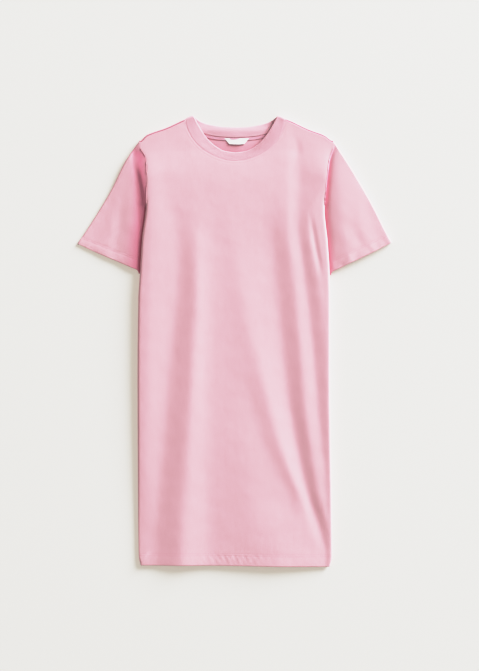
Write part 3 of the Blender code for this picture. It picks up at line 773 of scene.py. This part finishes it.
def sewPanel(name, surfaceAt, neckLineHere, seamY, tipY, columns, flip, uneven):
    rows = panelRows(tipY - body["hemY"])
    middle, half = neck["centreX"], neck["halfWidth"]
    away = np.array([row[0] for row in rows])[:, None] + np.zeros((1, len(columns)))
    depth = np.array([row[1] for row in rows])[:, None, None]
    facing = np.array([row[2] for row in rows])[:, None]

    def outer(shift):
        x, y = panelCut(columns, away + shift, tipY)
        return surfaceAt(x, y), x, y

    points, x, y = outer(0.0)
    up = outer(0.4)[0] - outer(-0.4)[0]
    normals = faceNormals(points, up) * (-1 if flip else 1)
    side, rim = columnValues(columns, "side"), columnValues(columns, "rim")
    reach = body["sideReach"]
    turned = reach * np.arccos(np.clip(1 - rim / reach, -1, 1))
    sideFar = np.where(side == 0, 99.0, np.where(y > body["armpitY"] + 12, rim, turned))
    neckFar, crestFar = farFrom(neckLineHere[::6], x, y), np.abs(y - seamY(x))
    topFar = np.minimum(neckFar, crestFar + 99 * (np.abs(x - middle) < half - 1))
    seamFar = np.minimum(sideFar, topFar)
    shoulderFar = np.where(np.abs(x - middle) > half + 0.5, crestFar, 99)

    def pressed(seam, far):
        return seam["press"] * swell(far, seam["wide"])

    def darkened(seam, far):
        return seam["dark"] * swell(far, seam["darkWide"])

    relief = -pressed(seams["side"], seamFar) - pressed(seams["shoulder"], shoulderFar)
    relief = relief * (facing > 0)
    for row in neck["stitches"]:
        relief -= pressed(seams["neckStitch"], neckFar - row)
    relief += hemRelief(x, away) * np.clip(facing, 0, 1)
    relief += uneven(x, y)
    points = points - normals * depth + normals * relief[..., None] * facing[..., None]
    # Painted shade along the side, shoulder and hem seams.
    shade = np.maximum(darkened(seams["side"], seamFar), darkened(seams["shoulder"], shoulderFar))
    shade = shade * (facing > 0)
    for row in body["hemStitches"]:
        shade = np.maximum(shade, darkened(seams["hemStitch"], away - row) * (facing > 0))
    # Painted shade: the inside of the back, seen through the neck opening, is tinted redder.
    insideShade = neck["hollowShade"] * swell(x - middle, neck["hollowShadeWide"]) * ease(*neck["hollowShadeFrom"], y)
    insideShade = insideShade * (shade < seams["plain"]) * (name == "back")
    cut = np.stack([x + 0 * y, y * facing + 0 * x, shade - insideShade], axis=-1)
    return points, normals, cut, rows


def frontUneven(x, y):
    return 0.16 * ripple(x, y, 46, 1.0) + 0.07 * ripple(x, y, 17, 2.0)


def backUneven(x, y):  # only upwards, away from the floor
    return np.clip(-0.08 * ripple(x, y, 40, 3.0), -0.2, 0)


def panelPlan(neckLineHere, seamY):  # the columns of a panel, and how high its shoulder tip is
    points = spaced(neckLineHere, panelGrain["neckColumns"])[0]
    tipY = float(seamY(np.array(body["left"][-1])))
    return panelColumns(points, lineNormals(points), seamY), tipY


frontColumns, frontTipY = panelPlan(frontNeckLine, frontSeamY)
backColumns, backTipY = panelPlan(backNeckLine, backSeamY)


def frontSurface(x, y):
    lowered = y - body["hemDrop"] * ease(*body["dropX"], x) * (1 - ease(*body["dropY"], y))
    return frontAt(x, y) + np.stack([0 * x, lowered - y, 0 * x], axis=-1)


def backSurface(x, flatY):
    return overShoulder(x, backOver(x, flatY))


frontPoints, frontNormals, frontCut, frontRows = sewPanel(
    "front", frontSurface, frontNeckLine, frontSeamY, frontTipY, frontColumns, False, frontUneven)
front = layCloth(
    "frontPanel", frontPoints, frontCut, body["cloth"], jerseyMaterial, "front")
backPoints, backNormals, backCut, backRows = sewPanel(
    "back", backSurface, backNeckLine, backSeamY, backTipY, backColumns, True, backUneven)
back = layCloth(
    "backPanel", backPoints, backCut, body["cloth"], jerseyMaterial, "back", flip=True)

# Sleeves, from the armhole (0) to the cuff (1): the top fold, and the heights where the cloth
# turns over. Their creases are given by how far each lies outside the body's edge, and its height.
# Beside the armhole a strip leaves the seam at the front's height, falls a little, then drops.
sleeves = {
    "left": {
        "sign": -1, "along": [0, 0.17, 0.42, 0.85, 1],
        "out": [-190.6, -221, -248.5, -299, -315.6], "y": [402, 357, 301, 219, 195],
        "top": [5.0, 4.2, 3.2, 2.6, 2.4], "under": [5.0, 3.6, 2.9, 2.4, 2.4],
        "cuffInnerY": 135.0,
        "strip": {"y": [200, 240, 262, 292, 312, 330, 346, 382],
                  "wide": [1.5, 3.5, 6.5, 10, 13, 15, 16, 12]},
        "stripFall": 0.16, "drop": 12.0,
        # Painted shade in the hollow beside the body: how deep, and how wide at each height.
        "hollowShade": {"deep": 0.8, "y": [132, 200, 240, 280, 330, 370],
                   "wide": [21, 21, 19, 16, 14, 14]},
        "folds": {
            "levels": [132, 158, 192, 222, 252, 282, 312, 346, 382],
            "lines": [
                {"x": [0, 0, 0, 0, 0, 0, 0, 0, 0],
                 "z": [6.8, 7.0, 8.2, 9.6, 10.4, 10.4, 10.2, 10.0, 9.8], "soft": 3},
                {"x": [3, 3, 4, 7, 13, 17, 21, 24, 20],
                 "z": [6.8, 7.0, 7.3, 7.3, 7.2, 7.2, 7.5, 8.1, 8.8], "soft": 4},
                {"x": [10, 10, 11, 13, 19, 23, 28, 30, 29],
                 "z": [8.4, 8.6, 9.0, 8.8, 8.3, 8.1, 8.3, 8.9, 9.6], "soft": 4},
                {"x": [20, 20, 22, 26, 31, 35, 37, 38, 36],
                 "z": [7.6, 7.8, 8.2, 8.4, 8.3, 8.2, 7.9, 8.6, 9.3], "soft": 6},
                {"x": [48, 50, 52, 51, 50, 50, 48, 46, 44],
                 "z": [4.9, 4.9, 5.1, 5.3, 5.6, 6.2, 7.0, 8.3, 9.2], "soft": 7},
                {"x": [62, 64, 66, 64, 62, 60, 58, 54, 50],
                 "z": [5.5, 5.7, 6.1, 6.2, 6.2, 6.3, 6.7, 7.8, 8.9], "soft": 8},
                {"x": [112, 106, 98, 90, 82, 74, 68, 62, 58],
                 "z": [3.3, 3.4, 3.6, 3.8, 4.1, 4.6, 5.4, 6.6, 8.0], "soft": 12},
            ],
        },
        "short": [
            {"from": (60, 232), "to": (92, 168), "rise": 0.6, "wide": 8},
        ],
    },
    "right": {
        "sign": 1, "along": [0, 0.3, 0.62, 0.88, 1],
        "out": [196.6, 238, 276, 302, 314.4], "y": [402, 338, 272, 220, 197.6],
        "top": [5.0, 4.6, 3.8, 3.2, 3.0], "under": [5.0, 3.8, 3.2, 2.8, 2.8],
        "cuffInnerY": 132.0,
        "strip": {"y": [200, 382], "wide": [0.4, 0.4]}, "stripFall": 0.0, "drop": 3.2,
        "hollowShade": {"deep": 0.45, "y": [132, 330], "wide": [6, 5]},
        "folds": {
            "levels": [132, 158, 192, 222, 252, 282, 312, 346, 382],
            "lines": [
                {"x": [0, 0, 0, 0, 0, 0, 0, 0, 0],
                 "z": [5.6, 5.6, 6.0, 6.6, 6.8, 7.0, 7.2, 7.8, 9.4], "soft": 2},
                {"x": [3, 3, 3, 3, 3, 3, 3, 3, 4],
                 "z": [5.6, 5.6, 6.0, 6.8, 7.2, 7.4, 7.6, 8.2, 9.6], "soft": 2.5},
                {"x": [11, 11, 10, 9, 9, 9, 8, 8, 9],
                 "z": [8.0, 8.2, 9.0, 10.4, 11.4, 12.0, 12.4, 12.0, 11.2], "soft": 5},
                {"x": [42, 40, 36, 30, 31, 30, 25, 21, 20],
                 "z": [11.0, 11.4, 12.0, 13.0, 13.8, 14.0, 13.8, 12.8, 11.4], "soft": 10},
                {"x": [76, 72, 66, 56, 54, 52, 48, 44, 42],
                 "z": [8.8, 9.0, 9.4, 10.2, 11.6, 12.2, 12.2, 11.8, 10.8], "soft": 8},
                {"x": [92, 88, 80, 70, 68, 66, 62, 58, 56],
                 "z": [9.4, 9.8, 10.2, 10.8, 11.4, 11.6, 11.4, 11.0, 10.4], "soft": 8},
                {"x": [124, 120, 112, 98, 90, 84, 76, 70, 66],
                 "z": [7.0, 7.2, 7.6, 8.2, 8.6, 9.0, 9.2, 9.4, 9.6], "soft": 12},
            ],
        },
        "short": [
            {"from": (266, 188), "to": (276, 168), "rise": -0.4, "wide": 5},
            {"from": (238, 168), "to": (248, 150), "rise": -0.45, "wide": 5},
            {"from": (212, 158), "to": (218, 142), "rise": -0.6, "wide": 5},
            {"from": (252, 176), "to": (262, 158), "rise": 0.3, "wide": 6},
        ],
    },
}
sleeveGrain = {
    "foldTurns": (0, 8, 18, 30, 44, 58, 74, 90),
    "middle": 46,
    "near": (0, 0.25, 0.6, 1.0, 1.6, 2.4, 3.4, 4.6, 6.0, 7.6, 9.2, 11, 13, 15.2, 17.6, 20.2),
    "lengthStep": 3.0,
    "cuffRows": [30, 27.5, 25.6, 24.4, 23.8, 23.4, 23.0, 22.6, 22.1, 21.2, 20.0, 19.4, 19.0, 18.6,
                 18.2, 17.6, 16.4, 14.5, 12, 9.5, 7, 4.5, 2.4],
    "cuffInner": (24.0, 23.9, 16.0, 8.0, 4.0),
    "cuffTurns": 6,
    "stitches": (18.6, 23.0),
    "stitchPress": 0.13,
    "seamPress": 0.2,
    "rippleFrom": (1, 6),
    "rippleTo": (16, 24),
    "ripple": 0.13,
    "puff": 0.2,
    "underside": 0.25,  # how much of that relief the side on the floor has
    "underClear": 0.5,
    "armpitReach": 6.0,
    "armpitWide": 30,
    "uneven": 0.22,
    "hollowShadeFrom": (0.7, 2),  # where the painted shade of the hollow is deepest: share of the strip, and more
    "hollowShadeTo": (372, 398),  # where it ends, near the shoulder tip
    "runRow": 20,  # the row on which the way round the sleeve is measured
}


def sleeveShape(side):
    form = sleeves[side]
    sign = form["sign"]
    edgeX = bodyLeft if side == "left" else bodyRight
    outX, outY = curve(form["along"], form["out"]), curve(form["along"], form["y"])
    topTurn, underTurn = curve(form["along"], form["top"]), curve(form["along"], form["under"])
    tip = np.array([form["out"][0], form["y"][0]])
    armpit = np.array([float(edgeX(np.array(body["armpitY"]))), body["armpitY"]])
    cuffTop = np.array([form["out"][-1], form["y"][-1]])
    cuffInnerX = float(edgeX(np.array(form["cuffInnerY"]))) + sign * sleeveGrain["underClear"]
    cuffInner = np.array([cuffInnerX, form["cuffInnerY"]])
    topLong, underLong = math.dist(tip, cuffTop), math.dist(armpit, cuffInner)
    lines = creaseLines(form["folds"])
    stripWide = curve(form["strip"]["y"], form["strip"]["wide"])

    def plan(share, along):  # seen from above, between the armhole, the cuff and the two folds
        armY = lerp(tip[1], armpit[1], share)
        underY = lerp(armpit[1], cuffInner[1], along)
        clear = sleeveGrain["underClear"] * ease(0, 0.08, along)
        arm = [edgeX(armY), armY]
        under = [edgeX(underY) + sign * clear, underY]
        top = [outX(along), outY(along)]
        spot = []
        for k in (0, 1):
            cuff = lerp(cuffTop[k], cuffInner[k], share)
            corner = (1 - along) * lerp(tip[k], armpit[k], share) + along * cuff
            spot.append(lerp(arm[k], cuff, along) + lerp(top[k], under[k], share) - corner)
        return spot

    def loft(x, y, path):
        off = sign * (x - edgeX(y))
        height = creased(lines, off, y)
        height = height + sleeveGrain["uneven"] * ripple(x, y, 38, 5.0 + sign)
        height = height + shortCreases(form["short"], x, y)
        seamHigh = frontZ(edgeX(y), y) - form["stripFall"] * path
        strip = stripWide(y)
        return lerp(seamHigh, height, ease(strip, strip + form["drop"], path))

    def place(upper, kind, at, path, shift=0.0):
        # kind is 0 round the top fold, 1 between the folds, 2 round the underarm fold
        rough = np.where(kind == 0, 0.0, np.where(kind == 2, 1.0, at))
        for _ in range(3):
            long = lerp(topLong, underLong, rough)
            along = np.clip((path + shift) / long, -0.02, 1.02)
            chord = lerp(body["tipY"] - body["armpitY"], math.dist(cuffTop, cuffInner), along)
            topReach = topTurn(along)
            nearArmpit = swell(path, sleeveGrain["armpitWide"])
            underReach = lerp(sleeveGrain["armpitReach"], body["armpitReach"], nearArmpit)
            low, high = topReach / chord, 1 - underReach / chord
            under = 1 - (1 - np.cos(at)) * underReach / chord
            rough = np.where(kind == 0, (1 - np.cos(at)) * topReach / chord,
                             np.where(kind == 2, under, lerp(low, high, at)))
        x, y = plan(rough, along)
        level = np.where(kind == 0, np.sin(at), np.where(kind == 2, np.sin(at), 1.0))
        turn = np.where(rough < 0.5, topTurn(along), underTurn(along))
        z = np.where(upper, turn + (loft(x, y, path + shift) - turn) * level, turn * (1 - level))
        return np.stack([x, y, z], axis=-1)

    return place, topLong, underLong


def sleeveStations():  # round the sleeve: over the top, from the underarm up, then back below
    turns = [math.radians(a) for a in sleeveGrain["foldTurns"]]
    middle = [n / sleeveGrain["middle"] for n in range(1, sleeveGrain["middle"])]
    upper = [(2, a) for a in turns] + [(1, t) for t in middle[::-1]] + [(0, a) for a in turns[::-1]]
    lower = [(0, a) for a in turns[1:]] + [(1, t) for t in middle] + [(2, a) for a in turns[:0:-1]]
    kinds = [kind for kind, at in upper + lower]
    ats = [at for kind, at in upper + lower]
    above = [True] * len(upper) + [False] * len(lower)
    return np.array(kinds), np.array(ats, float), np.array(above)


def sewSleeve(side):
    form, grain = sleeves[side], sleeveGrain
    sign = form["sign"]
    place, topLong, underLong = sleeveShape(side)
    kinds, ats, above = sleeveStations()
    share = np.where(kinds == 0, 0.0, np.where(kinds == 2, 1.0, ats))
    long = lerp(topLong, underLong, share)
    # rows: from the armhole by distance, then evenly, then by distance from the cuff and round it
    near, cuffRows = grain["near"], grain["cuffRows"]
    steps = round((topLong - near[-1] - cuffRows[0]) / grain["lengthStep"])
    rows = [(away + 0 * long, 0.0, 1.0) for away in near]
    rows += [(lerp(near[-1], long - cuffRows[0], n / steps), 0.0, 1.0) for n in range(1, steps)]
    rows += [(long - away, 0.0, 1.0) for away in cuffRows]
    turned = turnedRows(body["hemRound"], grain["cuffInner"], grain["cuffTurns"])[::-1]
    rows += [(long - away, deep, face) for away, deep, face in turned]
    path = np.array([row[0] for row in rows])
    depth, facing = (np.array([row[k] for row in rows])[:, None] for k in (1, 2))
    fromCuff = long[None, :] - path

    def spread(values):
        return np.broadcast_to(values[None, :], path.shape)

    station = spread(above), spread(kinds), spread(ats), path
    points = place(*station)
    normals = faceNormals(points, place(*station, 0.4) - place(*station, -0.4), ring=True)
    if normals[10, len(kinds) // 4, 2] < 0:
        normals = -normals
    ring = points[grain["runRow"]]
    run = np.cumsum(np.linalg.norm(np.diff(ring, axis=0, prepend=ring[:1]), axis=-1))
    run = np.broadcast_to(run[None, :], path.shape)
    relief = -grain["seamPress"] * swell(path, 0.8)
    for row in grain["stitches"]:
        relief = relief - grain["stitchPress"] * swell(fromCuff - row, hem["lineWide"])
    band = ease(*grain["rippleFrom"], fromCuff) * (1 - ease(*grain["rippleTo"], fromCuff))
    wave = np.sin(run * 2 * np.pi / 17.5 + 2.1 * np.sin(run / 23))
    wave = wave + np.sin(run * 2 * np.pi / 41 + 1)
    puff = grain["puff"] * np.sin(np.pi * np.clip(fromCuff / grain["stitches"][0], 0, 1))
    relief = relief + grain["ripple"] * band * wave + puff
    relief = relief * np.clip(facing, 0, 1) * np.where(spread(above), 1.0, grain["underside"])
    points = points - normals * depth[..., None] + normals * (relief * facing)[..., None]
    x, y = points[..., 0], points[..., 1]
    # Painted shade in the hollow beside the body, where the body shades the sleeve.
    strip, tint = curve(form["strip"]["y"], form["strip"]["wide"])(y), form["hollowShade"]
    edgeX = bodyLeft if side == "left" else bodyRight
    ofStrip, clear = grain["hollowShadeFrom"]
    off = sign * (x - edgeX(y)) - strip * ofStrip - clear
    hollowShade = tint["deep"] * swell(off, curve(tint["y"], tint["wide"])(y))
    hollowShade = hollowShade * spread(above) * (1 - ease(*grain["hollowShadeTo"], y))
    # Painted shade along the armhole seam and the cuff stitch rows.
    sewn, stitched = seams["side"], seams["hemStitch"]
    seam = sewn["dark"] * swell(path, sewn["darkWide"])
    shade = np.where(hollowShade > seam, -hollowShade, seam)
    for row in grain["stitches"]:
        line = stitched["dark"] * swell(fromCuff - row, stitched["darkWide"])
        shade = shade + line * (facing > 0)
    cut = np.stack([run, path, shade], axis=-1)
    name = "sleeve" + side.capitalize()
    piece = layCloth(name, points, cut, body["cloth"], jerseyMaterial, "sleeve_" + side,
                     ring=True, flip=sign > 0)
    lines = []
    for row in grain["stitches"]:
        at = len(near) + steps - 1 + cuffRows.index(row)
        lines.append([np.concatenate([grid[at], grid[at][:1]]) for grid in (points, normals)])
    threads = threadPiece(name + "Stitches", lines, threadMaterial, "jersey")
    return piece, threads


sleevePieces = {side: sewSleeve(side) for side in sleeves}

# Neckband: a rib ring folded double. Its free edge, from the front (0) to the back (1): distance
# from the centre line, and over the cloth from the crest of the shoulder fold.
neckband = {
    "turn": [0, 0.09, 0.18, 0.28, 0.37, 0.46, 0.56, 0.64, 0.72, 0.82, 0.91, 1],
    "out": [0, 21.5, 40.5, 57, 68, 77, 84, 75, 63, 44, 23, 0],
    "over": [78.3, 74.9, 64.9, 49.2, 33.3, 17.3, 0, -11.7, -18.0, -23.0, -26.2, -27.2],
    "rows": [0.0, 0.015, 0.04, 0.08, 0.14, 0.22, 0.31, 0.40, 0.49, 0.58, 0.67, 0.76, 0.85, 0.93],
    "underRows": [0.9, 0.78, 0.66, 0.54, 0.42, 0.3, 0.18, 0.06, 0.0],
    "edgeTurns": 6,
    "edgeRound": 1.1,
    "ribWide": 2.1,
    "ribDeep": 0.26,
    "sink": 0.3,  # of the free edge, and how far it stands up on the right
    "stand": 1.7,
    "standFrom": (10, 60),
    "standOver": (4, 30),
    "cloth": 1.0,
    "joinTurn": 0.665,
    "joinPress": 0.75,
    "joinDark": 0.7,
    "joinWide": 0.9,
    "seamPress": 0.2,
    "seamDark": 0.14,
    "uneven": 0.25,
}


def sewNeckband():
    form = neckband
    edgeOut, edgeOver = curve(form["turn"], form["out"]), curve(form["turn"], form["over"])
    frontHalf = np.linalg.norm(np.diff(frontNeckLine, axis=0), axis=1).sum() / 2
    backHalf = np.linalg.norm(np.diff(backNeckLine, axis=0), axis=1).sum() / 2
    frontPoints, frontRuns = spaced(frontNeckLine, 4 * round(2 * frontHalf / form["ribWide"]))
    backPoints, backRuns = spaced(backNeckLine, 4 * round(2 * backHalf / form["ribWide"]))
    backPoints, backRuns = backPoints[-2:0:-1], backRuns[-2:0:-1]
    around = frontHalf + backHalf
    x = np.concatenate([frontPoints[:, 0], backPoints[:, 0]])
    over = np.concatenate([frontOver(*frontPoints.T), backOver(*backPoints.T)])
    aheadHalf, behindHalf = np.abs(frontRuns - frontHalf), np.abs(backRuns - backHalf)
    fromFront = np.concatenate([aheadHalf, around - behindHalf])
    turn = fromFront / around
    side = np.where(x < neck["centreX"], -1, 1)
    edgeX = neck["centreX"] + side * edgeOut(turn)
    edge = edgeOver(turn)
    wide = np.hypot(x - edgeX, over - edge)
    backRun = (backRuns[0] - backRuns) + (2 * backHalf - backRuns[0])
    run = np.concatenate([frontRuns, frontRuns[-1] + backRun])
    radius, turns = form["edgeRound"], form["edgeTurns"]
    # rows go from the seam to the free edge, round it, and back under
    rows = [(share * (wide - radius), 0.0, 1.0) for share in form["rows"]]
    for n in range(turns + 1):
        angle = math.pi * n / turns
        inward, down = 1 - math.sin(angle), 1 - math.cos(angle)
        rows.append((wide - radius * inward, radius * down, math.cos(angle)))
    rows += [(share * (wide - radius), 2 * radius, -1.0) for share in form["underRows"]]
    away = np.array([row[0] for row in rows])
    depth, facing = (np.array([row[k] for row in rows])[:, None] for k in (1, 2))

    def place(at):
        across = at / wide
        bandOver = lerp(over, edge, across)
        spot = overShoulder(lerp(x, edgeX, across), bandOver)
        stand = form["stand"] * ease(*form["standFrom"], edgeX - neck["centreX"]) - form["sink"]
        spot[..., 2] += stand * np.clip(across, 0, 1) ** 1.5 * ease(*form["standOver"], bandOver)
        return spot

    points = place(away)
    normals = faceNormals(points, place(away + 0.3) - place(away - 0.3), ring=True)
    if normals[3, len(frontRuns) // 2, 2] < 0:
        normals = -normals
    ribs = np.cos(run * 2 * math.pi / form["ribWide"])
    fade = ease(0.4, 2.2, away)
    relief = form["ribDeep"] * ribs * fade - form["seamPress"] * swell(away, 0.8) * (facing > 0)
    join = swell((turn - form["joinTurn"]) * around, form["joinWide"]) * (x > 0)
    relief = relief - form["joinPress"] * join
    relief = relief + form["uneven"] * np.sin(run / 17) * ease(4, 12, away)
    relief = relief * np.sign(facing + 1e-9) * np.abs(facing)
    points = points - normals * depth[..., None] + normals * relief[..., None]
    # Painted shade along the band's seam and in the crease of its join.
    seam = form["seamDark"] * swell(away, 0.9) * (facing > 0)
    shade = np.maximum(seam, form["joinDark"] * join)
    cut = np.stack([run + 0 * away, away + 30 * (facing < 0), shade + 0 * away], axis=-1)
    return layCloth(
        "neckbandRib", points, cut, form["cloth"], ribMaterial, "neckband", ring=True)


band = sewNeckband()


def surfaceNormals(surface, x, y, sign):
    step = 0.3
    across = surface(x + step, y) - surface(x - step, y)
    along = surface(x, y + step) - surface(x, y - step)
    normal = np.cross(across, along) * sign
    return normal / np.linalg.norm(normal, axis=-1)[..., None]


def neckRows(line, surface, sign):
    rows = []
    normals = lineNormals(line)
    for off in neck["stitches"]:
        spots = (line - normals * off)[neck["stitchEnds"]:-neck["stitchEnds"]]
        x, y = spots[:, 0], spots[:, 1]
        out = surfaceNormals(surface, x, y, sign)
        rows.append((surface(x, y) - out * thread["sunk"], out))
    return rows


def hemRows(points, normals, rows):
    aways = [round(row[0], 3) if row[1] == 0 else None for row in rows]
    found = [aways.index(row) for row in body["hemStitches"]]
    return [(points[at], normals[at]) for at in found]


neckLines = neckRows(frontNeckLine, frontSurface, 1) + neckRows(backNeckLine, backSurface, -1)
neckStitches = threadPiece("neckStitches", neckLines, threadMaterial, "jersey")
hemLines = hemRows(frontPoints, frontNormals, frontRows)
hemLines += hemRows(backPoints, backNormals, backRows)
hemStitches = threadPiece("hemStitches", hemLines, threadMaterial, "jersey")

tape = {
    "wide": 6.6, "halfLong": 84.0, "cloth": 0.8, "lift": 0.12, "fromSeam": 0.3, "uneven": 0.12,
    "across": [0.0, 0.06, 0.16, 0.3, 0.5, 0.7, 0.84, 0.94, 1.0], "steps": 130,
    "stitchIn": 0.9, "stitch": {"pitch": 2.6, "long": 2.0, "thick": 0.17},
}


def sewTape():
    line = neckLine(backSeamY, neck["backY"], neck["backPower"], tape["halfLong"])
    line, runs = spaced(line, tape["steps"])
    normals = lineNormals(line)
    across = np.array(tape["across"])
    off = tape["fromSeam"] + tape["wide"] * (1 - across)
    x = line[None, :, 0] - normals[None, :, 0] * off[:, None]
    y = line[None, :, 1] - normals[None, :, 1] * off[:, None]
    dome = 1 - (2 * across - 1) ** 6
    z = backZ(x, y) + body["cloth"] + tape["lift"] + tape["cloth"] * (0.7 + 0.3 * dome[:, None])
    z = z + tape["uneven"] * np.sin(runs[None, :] / 4.1) * across[:, None]
    points = np.stack([x, y, z], axis=-1)
    # Painted shade along both edges of the tape.
    shade = np.maximum(0.35 * swell(across, 0.07), 0.5 * swell(across - 1, 0.05))
    cut = np.stack([runs[None, :] + 0 * x, off[:, None] + 0 * x, shade[:, None] + 0 * x], axis=-1)
    piece = layCloth("neckTape", points, cut, tape["cloth"], tapeMaterial, "neck_tape")
    up, inset = faceNormals(points), tape["stitchIn"] / tape["wide"]
    at = [int(np.argmin(np.abs(across - share))) for share in (inset, 1 - inset)]
    rows = [(points[row], up[row]) for row in at]
    threads = threadPiece("neckTapeStitches", rows, threadMaterial, "tape", **tape["stitch"])
    return piece, threads


tapePiece, tapeThreads = sewTape()

# The woven label: bare, its two ends folded under to slanting edges, sewn on along its top.
label = {
    "centreX": 3.4, "topY": 405.6, "bottomY": 393.8, "topWide": 50.0, "bottomWide": 30.0,
    "topZ": 6.4, "bottomZ": 8.0, "cloth": 0.45, "sag": 0.9, "endsDrop": 0.7, "uneven": 0.15,
    "acrossSteps": 40, "downSteps": 16, "foldRound": 0.5, "foldTurns": 6, "foldWide": 0.03,
    "foldInner": [-0.45, -0.72, -0.94], "stitch": {"pitch": 2.0, "long": 1.5, "thick": 0.14},
}


def sewLabel():
    form = label
    steps, turns, radius = form["acrossSteps"], form["foldTurns"], form["foldRound"]
    # columns run from the hidden end of one fold, round its slanting edge, over to the other
    inner = form["foldInner"]
    half = [(a, 2 * radius) for a in inner]
    for n in range(turns + 1):
        angle = math.pi * (1 - n / turns)
        inward, down = 1 - math.sin(angle), 1 - math.cos(angle)
        half.append((-1 + inward * form["foldWide"], radius * down))
    face = [(lerp(inner[-1], -inner[-1], n / steps), 0.0) for n in range(steps + 1)]
    columns = half + face + [(-a, d) for a, d in half[::-1]]
    across, depth = (np.array([column[k] for column in columns])[None, :] for k in (0, 1))
    down = (1 - np.arange(form["downSteps"] + 1) / form["downSteps"])[:, None]
    wide = lerp(form["topWide"], form["bottomWide"], down) / 2
    x = form["centreX"] + across * wide
    sag = form["sag"] * (1 - across**2) * down
    y = lerp(form["topY"], form["bottomY"], down) - sag
    z = lerp(form["topZ"], form["bottomZ"], down**1.5) - form["endsDrop"] * across**2 * down
    z = z + form["uneven"] * np.sin(across * 5 + 1) * down
    points = np.stack([x, y, z - depth], axis=-1)
    # Painted shade along the label's sewn top edge.
    shade = 0.6 * swell(down, 0.05) + 0 * x
    cut = np.stack([x + 60 * depth, y + 0 * x, shade], axis=-1)
    piece = layCloth(
        "labelWoven", points, cut, form["cloth"], labelMaterial, "label")
    line = points[-2][len(half):len(half) + steps + 1]
    up = np.zeros_like(line) + np.array([0, 0, 1.0])
    threads = threadPiece(
        "labelStitches", [(line, up)], whiteThreadMaterial, "woven_label", **form["stitch"])
    return piece, threads


labelPiece, labelThreads = sewLabel()


def flatArea(piece):  # half of the closed shell, in square metres
    graph = bpy.context.evaluated_depsgraph_get()
    mesh = piece.evaluated_get(graph).to_mesh()
    area = sum(face.area for face in mesh.polygons) / 2
    piece.evaluated_get(graph).to_mesh_clear()
    return area


for name, piece in pieces.items():
    if piece.modifiers:
        print(name, "flat area", round(flatArea(piece), 5))

# Floor, light and camera.
stage = {"floorWide": 18.0, "floorZ": -0.4}
mesh = bmesh.new()
bmesh.ops.create_grid(mesh, x_segments=4, y_segments=4, size=stage["floorWide"] / 2)
bmesh.ops.translate(mesh, verts=mesh.verts, vec=(0, 0, stage["floorZ"] * mm))
floorMesh = bpy.data.meshes.new("floor")
mesh.to_mesh(floorMesh)
mesh.free()
floorMesh.materials.append(floorPaint())
floor = bpy.data.objects.new("floor", floorMesh)
bpy.context.scene.collection.objects.link(floor)

light = {
    "turn": 43.0, "rise": 20.0, "far": 14.0, "wide": 7.5, "watts": 3900.0,
    "colour": (0.985, 1.0, 1.02), "world": 0.43, "worldColour": (1.0, 0.95, 0.93),
}
world = bpy.data.worlds.new("studio")
bpy.context.scene.world = world
world.use_nodes = True
world.node_tree.nodes["Background"].inputs["Color"].default_value = (*light["worldColour"], 1.0)
world.node_tree.nodes["Background"].inputs["Strength"].default_value = light["world"]
turn, rise = math.radians(light["turn"]), math.radians(light["rise"])
keyData = bpy.data.lights.new("softbox", "AREA")
keyData.shape = "DISK"
keyData.size = light["wide"]
keyData.energy = light["watts"]
keyData.color = light["colour"]
key = bpy.data.objects.new("softbox", keyData)
bpy.context.scene.collection.objects.link(key)
toLight = Vector((math.cos(turn) * math.cos(rise), math.sin(turn) * math.cos(rise), math.sin(rise)))
key.location = toLight * light["far"]
key.rotation_euler = toLight.to_track_quat("Z", "Y").to_euler()

view = {
    "centreX": 0.009, "centreY": 0.011, "tall": 1.342, "high": 3.2, "sensor": 36.0, "level": 0.008,
    "tones": ((0.2, 0.145), (0.4, 0.345), (0.5, 0.475), (0.6, 0.61), (0.7, 0.715), (0.8, 0.79),
              (1.0, 0.872), (1.2, 0.905), (1.6, 0.95)),
}
cameraData = bpy.data.cameras.new("camera")
cameraData.sensor_width = view["sensor"]
cameraData.lens = view["sensor"] / 2 / (view["tall"] / 2 / view["high"])
camera = bpy.data.objects.new("camera", cameraData)
camera.location = (view["centreX"], view["centreY"], view["high"] + view["level"])
bpy.context.scene.collection.objects.link(camera)
bpy.context.scene.camera = camera
settings = bpy.context.scene.view_settings
settings.view_transform = "Standard"
settings.use_curve_mapping = True
tones = settings.curve_mapping
tones.use_clip = False
tones.extend = "EXTRAPOLATED"
toneCurve = tones.curves[3]
toneCurve.points[-1].location = view["tones"][-1]
for at, to in view["tones"][:-1]:
    toneCurve.points.new(at, to)
tones.update()
print("stage, light and camera set")
